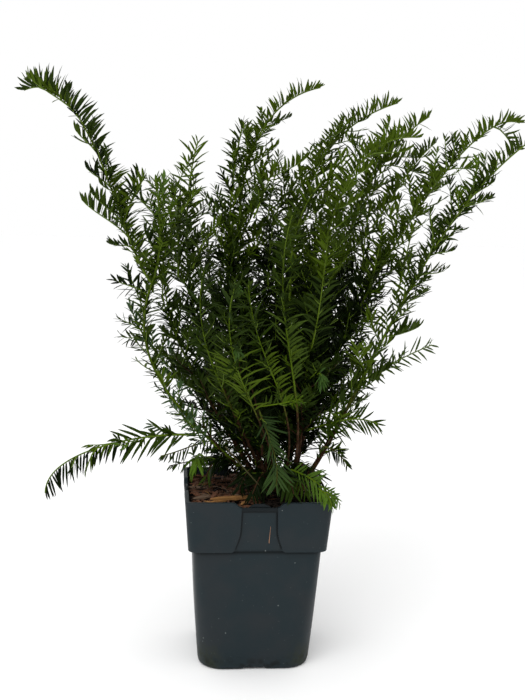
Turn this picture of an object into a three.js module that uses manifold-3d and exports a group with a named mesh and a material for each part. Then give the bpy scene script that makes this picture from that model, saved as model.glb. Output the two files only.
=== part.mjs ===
// A young, many-stemmed English yew in its square nursery pot. Millimetres, +Z up.
// The origin is the centre of the pot's flat underside, and the pot's front looks along -Y.
import * as THREE from 'three';
import { mergeVertices } from 'three/addons/utils/BufferGeometryUtils.js';
import Module from 'manifold-3d';

const wasm = await Module();
wasm.setup();

// ---- Driving dimensions -------------------------------------------------------------

const GAP = 0.35; // air between neighbouring solids
const WELD = 0.05; // points of one solid closer together than this become one

const POT = {
  height: 160,
  wall: 1.8,
  floor: 2.4,
  foot: { side: 102, corner: 28 }, // the underside
  waist: { side: 116, corner: 10 }, // the body, level with the collar's lower edge
  neck: { side: 119, corner: 8 }, // the body, just under the rim
  collarHeight: 46,
  collarFoot: { side: 123, corner: 9 },
  rim: { side: 130, corner: 6 },
};
const LABEL = { topWidth: 31, footWidth: 40, cornerRise: 9, footStrip: 1.5, barDrop: 3.5, barHeight: 3 };
const TAB = { footWidth: 31, topWidth: 17, notch: 6 }; // the wall's rounded tab behind each label place
const SOIL = { top: 151, edgeDrop: 3, lumps: 1.2 };
const ROOT_CROWN = { centre: [23, 3], halfLength: 24, halfWidth: 19, top: 165, flare: 1.15 };

const STEM_SIDES = 6;
const STEM_STEP = 30; // length of one facet along a stem
const SEAT = 14; // how far a limb runs on into its first mass
const MASS_SIDES = 8;
const MASS_STEP = 30;
const NEEDLE_REACH = 12; // needles stand this far past a shoot's tip

// Each limb is a cubic curve: foot, two pull points and tip, then its radius at both ends.
const LIMBS = {
  left_outer: { curve: [[3, -3, 160], [-44, -14, 210], [-128, -24, 266], [-96, -46, 351]], radii: [3.2, 1.7] },
  left_front: { curve: [[-96, -46, 349], [-87, -60, 378], [-89, -73, 406], [-94, -87, 436]], radii: [1.6, 1] },
  left_arch: { curve: [[-96, -46, 349], [-124, -47, 379], [-148, -54, 533], [-203, -51, 507]], radii: [1.6, 0.8] },
  left_inner: { curve: [[8, -9, 160], [-9, -25, 228], [-68, -48, 288], [-53, -80, 363]], radii: [2.6, 1] },
  left_middle: { curve: [[1, 5, 160], [-30, 17, 230], [-81, 28, 268], [-88, 38, 357]], radii: [2.6, 1] },
  left_back: { curve: [[5, 12, 160], [-51, 43, 236], [-83, 82, 383], [-55, 106, 482]], radii: [3, 1] },
  left_cluster: { curve: [[-30, 33, 224], [-65, 52, 248], [-107, 70, 274], [-120, 87, 319]], radii: [1.8, 0.9] },
  centre_left: { curve: [[12, 3, 160], [-21, 20, 264], [-44, 36, 386], [-17, 47, 497]], radii: [3, 1] },
  centre_arch: { curve: [[19, 10, 160], [-2, 24, 237], [-69, 55, 502], [59, 55, 532]], radii: [3.2, 0.9] },
  right_back: { curve: [[28, 9, 160], [62, 46, 274], [-10, 92, 474], [147, 112, 527]], radii: [3.2, 0.9] },
  right_top: { curve: [[36, 10, 160], [64, 25, 258], [70, 52, 448], [167, 60, 509]], radii: [3, 0.9] },
  right_thin: { curve: [[109, 32, 401], [129, 36, 429], [145, 41, 462], [171, 44, 484]], radii: [1.2, 0.7] },
  right_middle: { curve: [[35, -2, 160], [55, -14, 229], [23, -38, 485], [128, -57, 479]], radii: [2.8, 0.9] },
  right_long: { curve: [[42, 3, 160], [20, 4, 196], [172, -2, 523], [234, -7, 499]], radii: [3.2, 0.9] },
  right_outer: { curve: [[44, -6, 160], [100, -26, 253], [134, -53, 411], [222, -82, 480]], radii: [3.2, 0.9] },
  front_middle: { curve: [[16, -12, 160], [20, -61, 225], [-47, -89, 280], [-31, -133, 352]], radii: [2.4, 0.9] },
  front_right: { curve: [[24, -13, 160], [41, -70, 249], [-9, -78, 278], [-19, -119, 354]], radii: [2.4, 0.9] },
  front_tall: { curve: [[31, -11, 160], [54, -41, 241], [-3, -60, 326], [18, -92, 410]], radii: [2.6, 0.9] },
  back_left: { curve: [[12, 18, 160], [-27, 52, 235], [-42, 108, 312], [-42, 155, 394]], radii: [2.8, 1] },
  back_centre: { curve: [[21, 18, 160], [17, 54, 256], [9, 117, 345], [26, 168, 438]], radii: [2.8, 1] },
  back_right: { curve: [[30, 17, 160], [58, 46, 252], [89, 103, 336], [119, 150, 424]], radii: [2.8, 1] },
  back_low_left: { curve: [[-6, 45, 205], [-30, 80, 222], [-47, 112, 235], [-69, 157, 254]], radii: [1.6, 0.9] },
  back_low_right: { curve: [[53, 50, 224], [72, 78, 240], [100, 108, 258], [125, 139, 276]], radii: [1.6, 0.9] },
  low_left: { curve: [[-47, -19, 220], [-64, -20, 230], [-199, -38, 198], [-187, -43, 165]], radii: [1.8, 0.8] },
  low_back_left: { curve: [[3, 22, 172], [-23, 38, 214], [-56, 53, 180], [-88, 68, 170]], radii: [1.4, 0.8] },
  pale_right: { curve: [[46, -8, 205], [62, -15, 220], [79, -23, 233], [108, -35, 225]], radii: [1.4, 0.8] },
  far_right: { curve: [[49, 19, 217], [86, 35, 244], [138, 58, 269], [185, 78, 284]], radii: [1.8, 0.8] },
  hanging_front: { curve: [[16, -28, 186], [-12, -39, 218], [21, -30, 207], [17, -72, 177]], radii: [1.4, 0.8] },
  bottom_right: { curve: [[40, -8, 172], [44, -22, 184], [68, -50, 176], [60, -68, 170]], radii: [1.4, 0.8] },
};

// The limbs that are solids of their own, and how far each runs bare before it enters a mass.
const STEMS = {
  left_outer: 0.62, left_inner: 0.4, left_middle: 0.42, left_back: 0.32, centre_left: 0.32,
  centre_arch: 0.34, right_back: 0.36, right_top: 0.36, right_middle: 0.4, right_long: 0.4,
  right_outer: 0.4, front_middle: 0.36, front_right: 0.4, front_tall: 0.4, back_left: 0.38,
  back_centre: 0.38, back_right: 0.38, low_left: 0.24, far_right: 0.26,
};

// A mass surrounds a stretch of its limb: from, to, then half its width near the foot, at its
// fullest and at the tip, and how far the needles lift its middle above the limb.
const MASSES = {
  left_shoulder: { limb: 'left_outer', stretch: [0.64, 0.99], widths: [13, 23, 19] },
  arch_rise: { limb: 'left_arch', stretch: [0.02, 0.56], widths: [17, 19, 15], lift: 2 },
  arch_tip: { limb: 'left_arch', stretch: [0.54, 1], widths: [15, 14, 8], lift: 7 },
  left_front_tuft: { limb: 'left_front', stretch: [0.12, 1], widths: [16, 20, 11] },
  left_inner_spray: { limb: 'left_inner', stretch: [0.38, 1], widths: [15, 25, 13] },
  left_middle_spray: { limb: 'left_middle', stretch: [0.4, 1], widths: [15, 25, 14] },
  left_back_rise: { limb: 'left_back', stretch: [0.3, 0.66], widths: [15, 26, 21] },
  left_back_top: { limb: 'left_back', stretch: [0.64, 1], widths: [21, 19, 9] },
  left_cluster_spray: { limb: 'left_cluster', stretch: [0.04, 1], widths: [11, 21, 11] },
  centre_left_rise: { limb: 'centre_left', stretch: [0.3, 0.62], widths: [15, 27, 25] },
  centre_left_top: { limb: 'centre_left', stretch: [0.6, 1], widths: [25, 24, 10] },
  centre_arch_rise: { limb: 'centre_arch', stretch: [0.32, 0.72], widths: [16, 28, 24] },
  centre_arch_tip: { limb: 'centre_arch', stretch: [0.7, 1], widths: [22, 15, 7], lift: 3 },
  right_back_rise: { limb: 'right_back', stretch: [0.34, 0.7], widths: [16, 30, 28] },
  right_back_tip: { limb: 'right_back', stretch: [0.68, 1], widths: [26, 17, 8], lift: 2 },
  right_middle_rise: { limb: 'right_middle', stretch: [0.38, 0.7], widths: [15, 25, 24] },
  right_middle_tip: { limb: 'right_middle', stretch: [0.68, 1], widths: [24, 18, 8], lift: 2 },
  right_top_rise: { limb: 'right_top', stretch: [0.34, 0.68], widths: [16, 28, 26] },
  right_top_tip: { limb: 'right_top', stretch: [0.66, 1], widths: [25, 18, 8], lift: 2 },
  right_thin_spray: { limb: 'right_thin', stretch: [0.02, 1], widths: [8, 14, 8] },
  right_long_rise: { limb: 'right_long', stretch: [0.38, 0.7], widths: [15, 25, 22] },
  right_long_tip: { limb: 'right_long', stretch: [0.68, 1], widths: [21, 15, 7], lift: 3 },
  right_outer_rise: { limb: 'right_outer', stretch: [0.38, 0.72], widths: [13, 21, 20] },
  right_outer_tip: { limb: 'right_outer', stretch: [0.7, 1], widths: [19, 15, 8], lift: 3 },
  front_middle_spray: { limb: 'front_middle', stretch: [0.34, 1], widths: [14, 27, 14] },
  front_right_spray: { limb: 'front_right', stretch: [0.38, 1], widths: [14, 27, 14] },
  front_tall_spray: { limb: 'front_tall', stretch: [0.38, 1], widths: [15, 27, 14] },
  back_left_spray: { limb: 'back_left', stretch: [0.36, 1], widths: [20, 36, 18] },
  back_centre_spray: { limb: 'back_centre', stretch: [0.36, 1], widths: [20, 38, 18] },
  back_right_spray: { limb: 'back_right', stretch: [0.36, 1], widths: [20, 36, 18] },
  back_low_left_spray: { limb: 'back_low_left', stretch: [0.02, 1], widths: [13, 25, 13] },
  back_low_right_spray: { limb: 'back_low_right', stretch: [0.02, 1], widths: [13, 25, 13] },
  far_right_spray: { limb: 'far_right', stretch: [0.24, 1], widths: [10, 17, 9] },
  low_left_spray: { limb: 'low_left', stretch: [0.22, 1], widths: [10, 14, 8], lift: -4 },
  low_back_left_spray: { limb: 'low_back_left', stretch: [0.02, 1], widths: [7, 12, 7] },
  pale_right_spray: { limb: 'pale_right', stretch: [0.04, 1], widths: [8, 15, 10] },
  hanging_front_spray: { limb: 'hanging_front', stretch: [0.04, 1], widths: [8, 16, 10] },
  bottom_right_spray: { limb: 'bottom_right', stretch: [0.04, 1], widths: [8, 15, 11] },
};

// ---- Finishes -----------------------------------------------------------------------

const FINISH = {
  pot: { color: 0x2f363a, roughness: 0.45, metalness: 0 },
  soil: { color: 0x3c261b, roughness: 0.95, metalness: 0 },
  bark: { color: 0x5a4030, roughness: 0.85, metalness: 0 },
  foliage: { color: 0x23421b, roughness: 0.6, metalness: 0 },
};

function node(name, finish, geometry) {
  const mesh = new THREE.Mesh(geometry, new THREE.MeshStandardMaterial(FINISH[finish]));
  mesh.name = name;
  return mesh;
}

// ---- Between three.js geometry and solids ---------------------------------------------

function solidOf(geometry) {
  const bare = geometry.clone();
  bare.deleteAttribute('normal');
  bare.deleteAttribute('uv');
  const merged = mergeVertices(bare, 1e-5);
  return new wasm.Manifold(new wasm.Mesh({
    numProp: 3,
    vertProperties: new Float32Array(merged.getAttribute('position').array),
    triVerts: new Uint32Array(merged.getIndex().array),
  }));
}

// Points closer together than WELD become one, and the triangles that this closes up go.
function geometryOf(solid) {
  const mesh = solid.getMesh();
  const loose = new THREE.BufferGeometry();
  loose.setAttribute('position', new THREE.BufferAttribute(new Float32Array(mesh.vertProperties), 3));
  loose.setIndex(new THREE.BufferAttribute(new Uint32Array(mesh.triVerts), 1));
  const welded = mergeVertices(loose, WELD);
  const corners = welded.getIndex().array;
  const triangles = [];
  for (let corner = 0; corner < corners.length; corner += 3) {
    const [a, b, c] = corners.slice(corner, corner + 3);
    if (a !== b && b !== c && c !== a) {
      triangles.push(a, b, c);
    }
  }
  return closedGeometry(welded.getAttribute('position').array, triangles);
}

function closedGeometry(positions, triangles) {
  const geometry = new THREE.BufferGeometry();
  geometry.setAttribute('position', new THREE.BufferAttribute(new Float32Array(positions), 3));
  geometry.setIndex(new THREE.BufferAttribute(new Uint32Array(triangles), 1));
  geometry.computeVertexNormals();
  return geometry;
}

// Joins closed rings of equal length into a skin, and closes both ends with a pole.
function skin(rings, firstPole, lastPole) {
  const count = rings[0].length;
  const positions = [...rings.flat(), firstPole, lastPole].flatMap((point) => point.toArray());
  const first = rings.length * count;
  const triangles = [];
  for (let side = 0; side < count; side += 1) {
    const next = (side + 1) % count;
    for (let ring = 0; ring + 1 < rings.length; ring += 1) {
      const low = ring * count;
      const high = low + count;
      triangles.push(low + side, low + next, high + next);
      triangles.push(low + side, high + next, high + side);
    }
    const top = first - count;
    triangles.push(first, next, side);
    triangles.push(first + 1, top + side, top + next);
  }
  return closedGeometry(positions, triangles);
}

// ---- Pot and soil -----------------------------------------------------------------------

const CORNER_STEPS = 3;

// A square ring with rounded corners at height z, counter-clockwise seen from above.
function squareRing({ side, corner }, z, inset = 0) {
  const radius = Math.max(corner - inset, 1);
  const middle = side / 2 - inset - radius;
  const ring = [];
  for (let quarter = 0; quarter < 4; quarter += 1) {
    const diagonal = (quarter + 0.5) * Math.PI / 2;
    const centreX = Math.sign(Math.cos(diagonal)) * middle;
    const centreY = Math.sign(Math.sin(diagonal)) * middle;
    for (let step = 0; step <= CORNER_STEPS; step += 1) {
      const angle = (quarter + step / CORNER_STEPS) * Math.PI / 2;
      ring.push(new THREE.Vector3(
        centreX + radius * Math.cos(angle),
        centreY + radius * Math.sin(angle),
        z,
      ));
    }
  }
  return ring;
}

function squareLoft(levels) {
  const rings = levels.map(([section, z, inset]) => squareRing(section, z, inset));
  const pole = (z) => new THREE.Vector3(0, 0, z);
  return solidOf(skin(rings, pole(levels[0][1]), pole(levels.at(-1)[1])));
}

// The pot's section part way up its body, between the underside and the neck.
function bodySection(z) {
  const waistHeight = POT.height - POT.collarHeight;
  const [low, high, share] = z < waistHeight
    ? [POT.foot, POT.waist, z / waistHeight]
    : [POT.waist, POT.neck, (z - waistHeight) / POT.collarHeight];
  return {
    side: THREE.MathUtils.lerp(low.side, high.side, share),
    corner: THREE.MathUtils.lerp(low.corner, high.corner, share),
  };
}

// An upright prism through one side of the collar, from an outline in X and Z.
function sideCut(outline, depth, turn) {
  const shape = new THREE.Shape(outline.map(([x, z]) => new THREE.Vector2(x, z)));
  const geometry = new THREE.ExtrudeGeometry(shape, { depth, bevelEnabled: false });
  geometry.rotateX(Math.PI / 2);
  geometry.translate(0, -bodySection(POT.height).side / 2 - GAP, 0);
  geometry.rotateZ(turn);
  return solidOf(geometry);
}

function potSolid() {
  const { height, wall, floor, collarHeight } = POT;
  const waist = height - collarHeight;
  const outside = squareLoft([
    [POT.foot, 0], [POT.waist, waist], [POT.neck, height - wall], [POT.neck, height],
  ]);
  const inside = squareLoft([
    [bodySection(floor), floor, wall], [POT.waist, waist, wall], [POT.neck, height + 1, wall],
  ]);
  const collar = squareLoft([[POT.collarFoot, waist], [POT.rim, height]]);
  const collarHollow = squareLoft([
    [POT.collarFoot, waist - 1, wall],
    [POT.rim, height - wall, wall],
  ]);
  const throat = squareLoft([[POT.neck, waist - 1, wall], [POT.neck, height + 1, wall]]);
  let pot = outside.subtract(inside).add(collar.subtract(collarHollow).subtract(throat));
  const { topWidth, footWidth, cornerRise, footStrip, barDrop, barHeight } = LABEL;
  const top = height + 1;
  const barTop = height - barDrop;
  const barFoot = barTop - barHeight;
  const depth = POT.rim.side / 2;
  for (let side = 0; side < 4; side += 1) {
    const turn = side * Math.PI / 2;
    const aboveBar = [[-topWidth / 2 - 1, barTop], [topWidth / 2 + 1, barTop], [topWidth / 2 + 3, top],
      [-topWidth / 2 - 3, top]];
    const belowBar = [[-footWidth / 2, waist + footStrip], [footWidth / 2, waist + footStrip],
      [topWidth / 2, waist + footStrip + cornerRise], [topWidth / 2, barFoot], [-topWidth / 2, barFoot],
      [-topWidth / 2, waist + footStrip + cornerRise]];
    pot = pot.subtract(sideCut(aboveBar, depth, turn));
    pot = pot.subtract(sideCut(belowBar, depth, turn));
    for (const hand of [-1, 1]) {
      const foot = hand * TAB.footWidth / 2;
      const notch = [[foot, barTop], [foot + hand * TAB.notch, top], [hand * TAB.topWidth / 2, top]];
      if (hand < 0) {
        notch.reverse();
      }
      const through = sideCut(notch, depth, turn).translate(cutInward(turn));
      pot = pot.subtract(through);
    }
  }
  return pot;
}

// The shift that carries a side cut from the collar in through the pot's wall.
function cutInward(turn) {
  const shift = new THREE.Vector3(0, 2 * POT.wall, 0).applyAxisAngle(new THREE.Vector3(0, 0, 1), turn);
  return shift.toArray();
}

function soilSolid() {
  const { wall, floor } = POT;
  const inset = wall + GAP;
  const edge = SOIL.top - SOIL.edgeDrop;
  const low = floor + GAP;
  const rings = [low, POT.height - POT.collarHeight, edge].map((z) => squareRing(bodySection(z), z, inset));
  const shoulder = squareRing(bodySection(edge), SOIL.top, inset);
  for (const [inward, lift] of [[0.82, 0.55], [0.52, 1]]) {
    rings.push(shoulder.map((point, index) => {
      const lump = lift < 1 ? SOIL.lumps * Math.sin(index * 2.4 + 1) : 0;
      return new THREE.Vector3(point.x * inward, point.y * inward, edge + SOIL.edgeDrop * lift + lump);
    }));
  }
  return solidOf(skin(rings, new THREE.Vector3(0, 0, low), new THREE.Vector3(0, 0, SOIL.top)));
}

// ---- Plant --------------------------------------------------------------------------------

const vector = (point) => new THREE.Vector3(...point);

// The stretch of a cubic curve between two of its parameters, as a cubic curve.
function stretchOf(points, from, to) {
  const [a, b, c, d] = points.map(vector);
  const blossom = (u, v, w) => {
    const ab = a.clone().lerp(b, u);
    const bc = b.clone().lerp(c, u);
    const cd = c.clone().lerp(d, u);
    return ab.lerp(bc.clone(), v).lerp(bc.lerp(cd, v), w);
  };
  return new THREE.CubicBezierCurve3(
    blossom(from, from, from),
    blossom(from, from, to),
    blossom(from, to, to),
    blossom(to, to, to),
  );
}

// Carries a ring along a curve. radiusAt(share, angle) gives the ring's radius there, and lift
// raises the ring's middle by a share of that radius.
function sweep(curve, sides, steps, radiusAt, { footPast = 0, tipPast = 0, lift = () => 0 } = {}) {
  const frames = curve.computeFrenetFrames(steps);
  const rings = [];
  for (let step = 0; step <= steps; step += 1) {
    const share = step / steps;
    const centre = curve.getPointAt(share);
    centre.z += lift(share);
    const ring = [];
    for (let side = 0; side < sides; side += 1) {
      const angle = side / sides * Math.PI * 2;
      const radius = radiusAt(share, angle);
      ring.push(centre.clone()
        .addScaledVector(frames.normals[step], radius * Math.cos(angle))
        .addScaledVector(frames.binormals[step], radius * Math.sin(angle)));
    }
    rings.push(ring);
  }
  const footPole = curve.getPointAt(0).addScaledVector(frames.tangents[0], -footPast);
  const tipPole = curve.getPointAt(1).addScaledVector(frames.tangents[steps], tipPast);
  footPole.z += lift(0);
  tipPole.z += lift(1);
  return solidOf(skin(rings, footPole, tipPole));
}

function stemSolid(name, grow = 0) {
  const { curve: points, radii: [footRadius, tipRadius] } = LIMBS[name];
  const enters = STEMS[name];
  const whole = stretchOf(points, 0, 1);
  const bare = stretchOf(points, 0, Math.min(1, enters + SEAT / whole.getLength()));
  const steps = Math.max(3, Math.round(bare.getLength() / STEM_STEP));
  const share = bare.getLength() / whole.getLength();
  const radiusAt = (along) => THREE.MathUtils.lerp(footRadius, tipRadius, along * share) + grow;
  return sweep(bare, STEM_SIDES, steps, radiusAt, { footPast: grow, tipPast: grow });
}

// A foliage mass: its width swells quickly from the foot and thins slowly to the tip, and
// three slow waves round it and along it make it uneven.
function massSolid(name, order, grow = 0) {
  const { limb, stretch: [from, to], widths: [foot, full, tip], lift: rise = 0 } = MASSES[name];
  const curve = stretchOf(LIMBS[limb].curve, from, to);
  const steps = Math.max(4, Math.round(curve.getLength() / MASS_STEP));
  const phase = order * 1.7;
  const widthAt = (share) => (share < 0.4
    ? THREE.MathUtils.lerp(foot, full, Math.sin(share / 0.4 * Math.PI / 2))
    : THREE.MathUtils.lerp(full, tip, ((share - 0.4) / 0.6) ** 1.6));
  const unevenness = (share, angle) => 1
    + 0.1 * Math.sin(3 * angle + phase + 5 * share)
    + 0.07 * Math.sin(2 * angle - 9 * share + 2 * phase)
    + 0.06 * Math.sin(11 * share + phase);
  const radiusAt = (share, angle) => widthAt(share) * unevenness(share, angle) + grow;
  const pastTip = to === 1 ? NEEDLE_REACH : 3;
  return sweep(curve, MASS_SIDES, steps, radiusAt, {
    footPast: 3 + grow,
    tipPast: pastTip + grow,
    lift: (share) => rise * Math.min(1, 3 * share),
  });
}

function rootCrownSolid(grow = 0) {
  const { centre: [x, y], halfLength, halfWidth, top, flare } = ROOT_CROWN;
  const foot = SOIL.top + GAP - grow;
  const sides = 16;
  const levels = [[foot, flare], [SOIL.top + 5, 1.02], [top - 4, 0.9], [top, 0.6]];
  const rings = levels.map(([z, wide]) => Array.from({ length: sides }, (_, side) => {
    const angle = side / sides * Math.PI * 2;
    const ribs = 1 + 0.07 * Math.sin(5 * angle + 0.6);
    return new THREE.Vector3(
      x + (halfLength * wide * ribs + grow) * Math.cos(angle),
      y + (halfWidth * wide * ribs + grow) * Math.sin(angle),
      z,
    );
  }));
  return solidOf(skin(rings, new THREE.Vector3(x, y, foot), new THREE.Vector3(x, y, top + grow)));
}

function boxesMeet(a, b) {
  const first = a.boundingBox();
  const second = b.boundingBox();
  return [0, 1, 2].every((axis) => first.min[axis] <= second.max[axis]
    && second.min[axis] <= first.max[axis]);
}

// The whole space of the pot up to its rim, with the gap round it: no foliage dips into it.
function potEnvelope() {
  const wider = ({ side, corner }) => ({ side: side + 2 * GAP, corner });
  const { height, collarHeight } = POT;
  return squareLoft([
    [wider(POT.foot), -GAP],
    [wider(POT.collarFoot), height - collarHeight],
    [wider(POT.rim), height],
    [wider(POT.rim), height + GAP],
  ]);
}

// What is left of a solid once the grown copies of its neighbours are cut from it. Slivers
// that the cuts part from the rest are dropped.
function cutClear(solid, grownNeighbours) {
  let left = solid;
  for (const neighbour of grownNeighbours) {
    if (boxesMeet(left, neighbour)) {
      left = left.subtract(neighbour);
    }
  }
  const pieces = left.decompose();
  const volumes = pieces.map((piece) => piece.volume());
  return pieces[volumes.indexOf(Math.max(...volumes))];
}

// ---- Assembly -------------------------------------------------------------------------------

const yew = new THREE.Group();
yew.add(node('pot', 'pot', geometryOf(potSolid())));
yew.add(node('potting_soil', 'soil', geometryOf(soilSolid())));
yew.add(node('root_crown', 'bark', geometryOf(rootCrownSolid())));

const placed = [rootCrownSolid(GAP)];
const potAndAir = potEnvelope();
for (const name of Object.keys(STEMS)) {
  const solid = cutClear(stemSolid(name), placed);
  yew.add(node(`${name}_stem`, 'bark', geometryOf(solid)));
  placed.push(stemSolid(name, GAP));
}
Object.keys(MASSES).forEach((name, order) => {
  const solid = cutClear(massSolid(name, order), [potAndAir, ...placed]);
  yew.add(node(name, 'foliage', geometryOf(solid)));
  placed.push(massSolid(name, order, GAP));
});

export default yew;
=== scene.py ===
"""A young English yew in its square nursery pot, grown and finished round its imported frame.

The pot and the soil are surfaces worked out on grids. The plant is grown: each leading shoot
keeps the line that the frame gives it, side shoots leave it by a seeded rule, and needles are
set along every shoot by the habit that the shoot has. All lengths are in metres; the tables of
places are in millimetres, as MM says, and are turned into metres where they are read.
"""

import math

import bpy
import numpy as np
from bpy.props import FloatProperty, FloatVectorProperty, IntProperty, PointerProperty
from mathutils import Matrix, Vector


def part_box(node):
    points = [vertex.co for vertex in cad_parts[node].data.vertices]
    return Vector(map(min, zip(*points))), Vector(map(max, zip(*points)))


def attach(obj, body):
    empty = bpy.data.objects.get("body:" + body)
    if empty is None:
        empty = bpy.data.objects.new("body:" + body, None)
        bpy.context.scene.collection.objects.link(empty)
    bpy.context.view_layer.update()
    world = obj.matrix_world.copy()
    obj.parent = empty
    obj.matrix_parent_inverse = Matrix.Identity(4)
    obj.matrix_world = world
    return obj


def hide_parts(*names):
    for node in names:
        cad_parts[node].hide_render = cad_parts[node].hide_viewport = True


bl_info = {
    "name": "Potted Yew",
    "version": (1, 0, 0),
    "blender": (4, 5, 0),
    "location": "3D View > Sidebar > Yew",
    "description": "Builds a young yew in its nursery pot, needle by needle",
    "category": "Add Mesh",
}

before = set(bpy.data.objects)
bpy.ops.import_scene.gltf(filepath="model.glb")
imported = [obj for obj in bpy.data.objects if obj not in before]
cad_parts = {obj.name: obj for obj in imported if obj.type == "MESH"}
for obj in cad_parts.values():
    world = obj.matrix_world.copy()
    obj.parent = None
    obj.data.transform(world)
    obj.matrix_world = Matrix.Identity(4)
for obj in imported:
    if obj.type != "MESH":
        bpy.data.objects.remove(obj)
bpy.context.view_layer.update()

MM = 0.001
TAU = 2 * math.pi
GOLDEN_TURN = math.radians(137.5)
UP = np.array([0.0, 0.0, 1.0])

# ---- The plant's leading shoots --------------------------------------------------------------

# curve: foot, two pull points and tip, as in the frame. radii: at foot and tip. bare: the share
# of the shoot without needles. reach: the longest side shoot. habits and lengths: how the needles
# sit and how long they are, in the older and in the younger half. tints: the spray colours of
# both halves. step: how far apart its side shoots stand, where 1 is usual. joint: where the younger
# half starts, if not at about the middle. green: what its stem's youth gains over its height's.
# draw: the random draw that its side shoots follow.


def halves(words):
    """A word for the older and one for the younger half; a single word stands for both."""
    words = words.split()
    return words * 2 if len(words) == 1 else words


def leader(curve, radii, bare, reach, habits, lengths, tints, step=1.0, joint=None, green=0.0, draw=0):
    """One row of the table of leading shoots, with its lengths turned into metres."""
    return {
        "curve": np.array(curve, float) * MM,
        "radii": np.array(radii) * MM,
        "bare": bare,
        "reach": reach * MM,
        "habits": halves(habits),
        "lengths": np.array(lengths) * MM,
        "tints": halves(tints),
        "step": step,
        "joint": joint,
        "green": green,
        "draw": draw,
    }


def heart(curve, draw):
    """A bushy dark leader in the middle of the crown."""
    return leader(curve, [2.2, 0.9], 0.06, 42, "round", [24, 22], "dark old", 0.6, draw=draw)


def back(curve, draw):
    """A full leader at the back."""
    return leader(curve, [2.8, 1], 0.12, 40, "round", [24, 20], "old deep", draw=draw)


def rise(curve, radii, reach, lengths, tints, step=0.9, draw=0):
    """A shoot that forks off another one and fills the crown above it."""
    return leader(curve, radii, 0.05, reach, "round", lengths, tints, step, draw=draw)


def fringe(curve, tints, draw):
    """A short dark shoot at the foot of the plant whose needles hang over the soil."""
    return leader(curve, [1.2, 0.7], 0.0, 12, "hanging", [23, 21], tints, green=-0.4, draw=draw)


def tuft(curve, tints, draw):
    """A small pale shoot on a low bough."""
    return leader(curve, [1, 0.6], 0.0, 9, "round", [13, 12], tints, 2.0, green=0.3, draw=draw)


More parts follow.
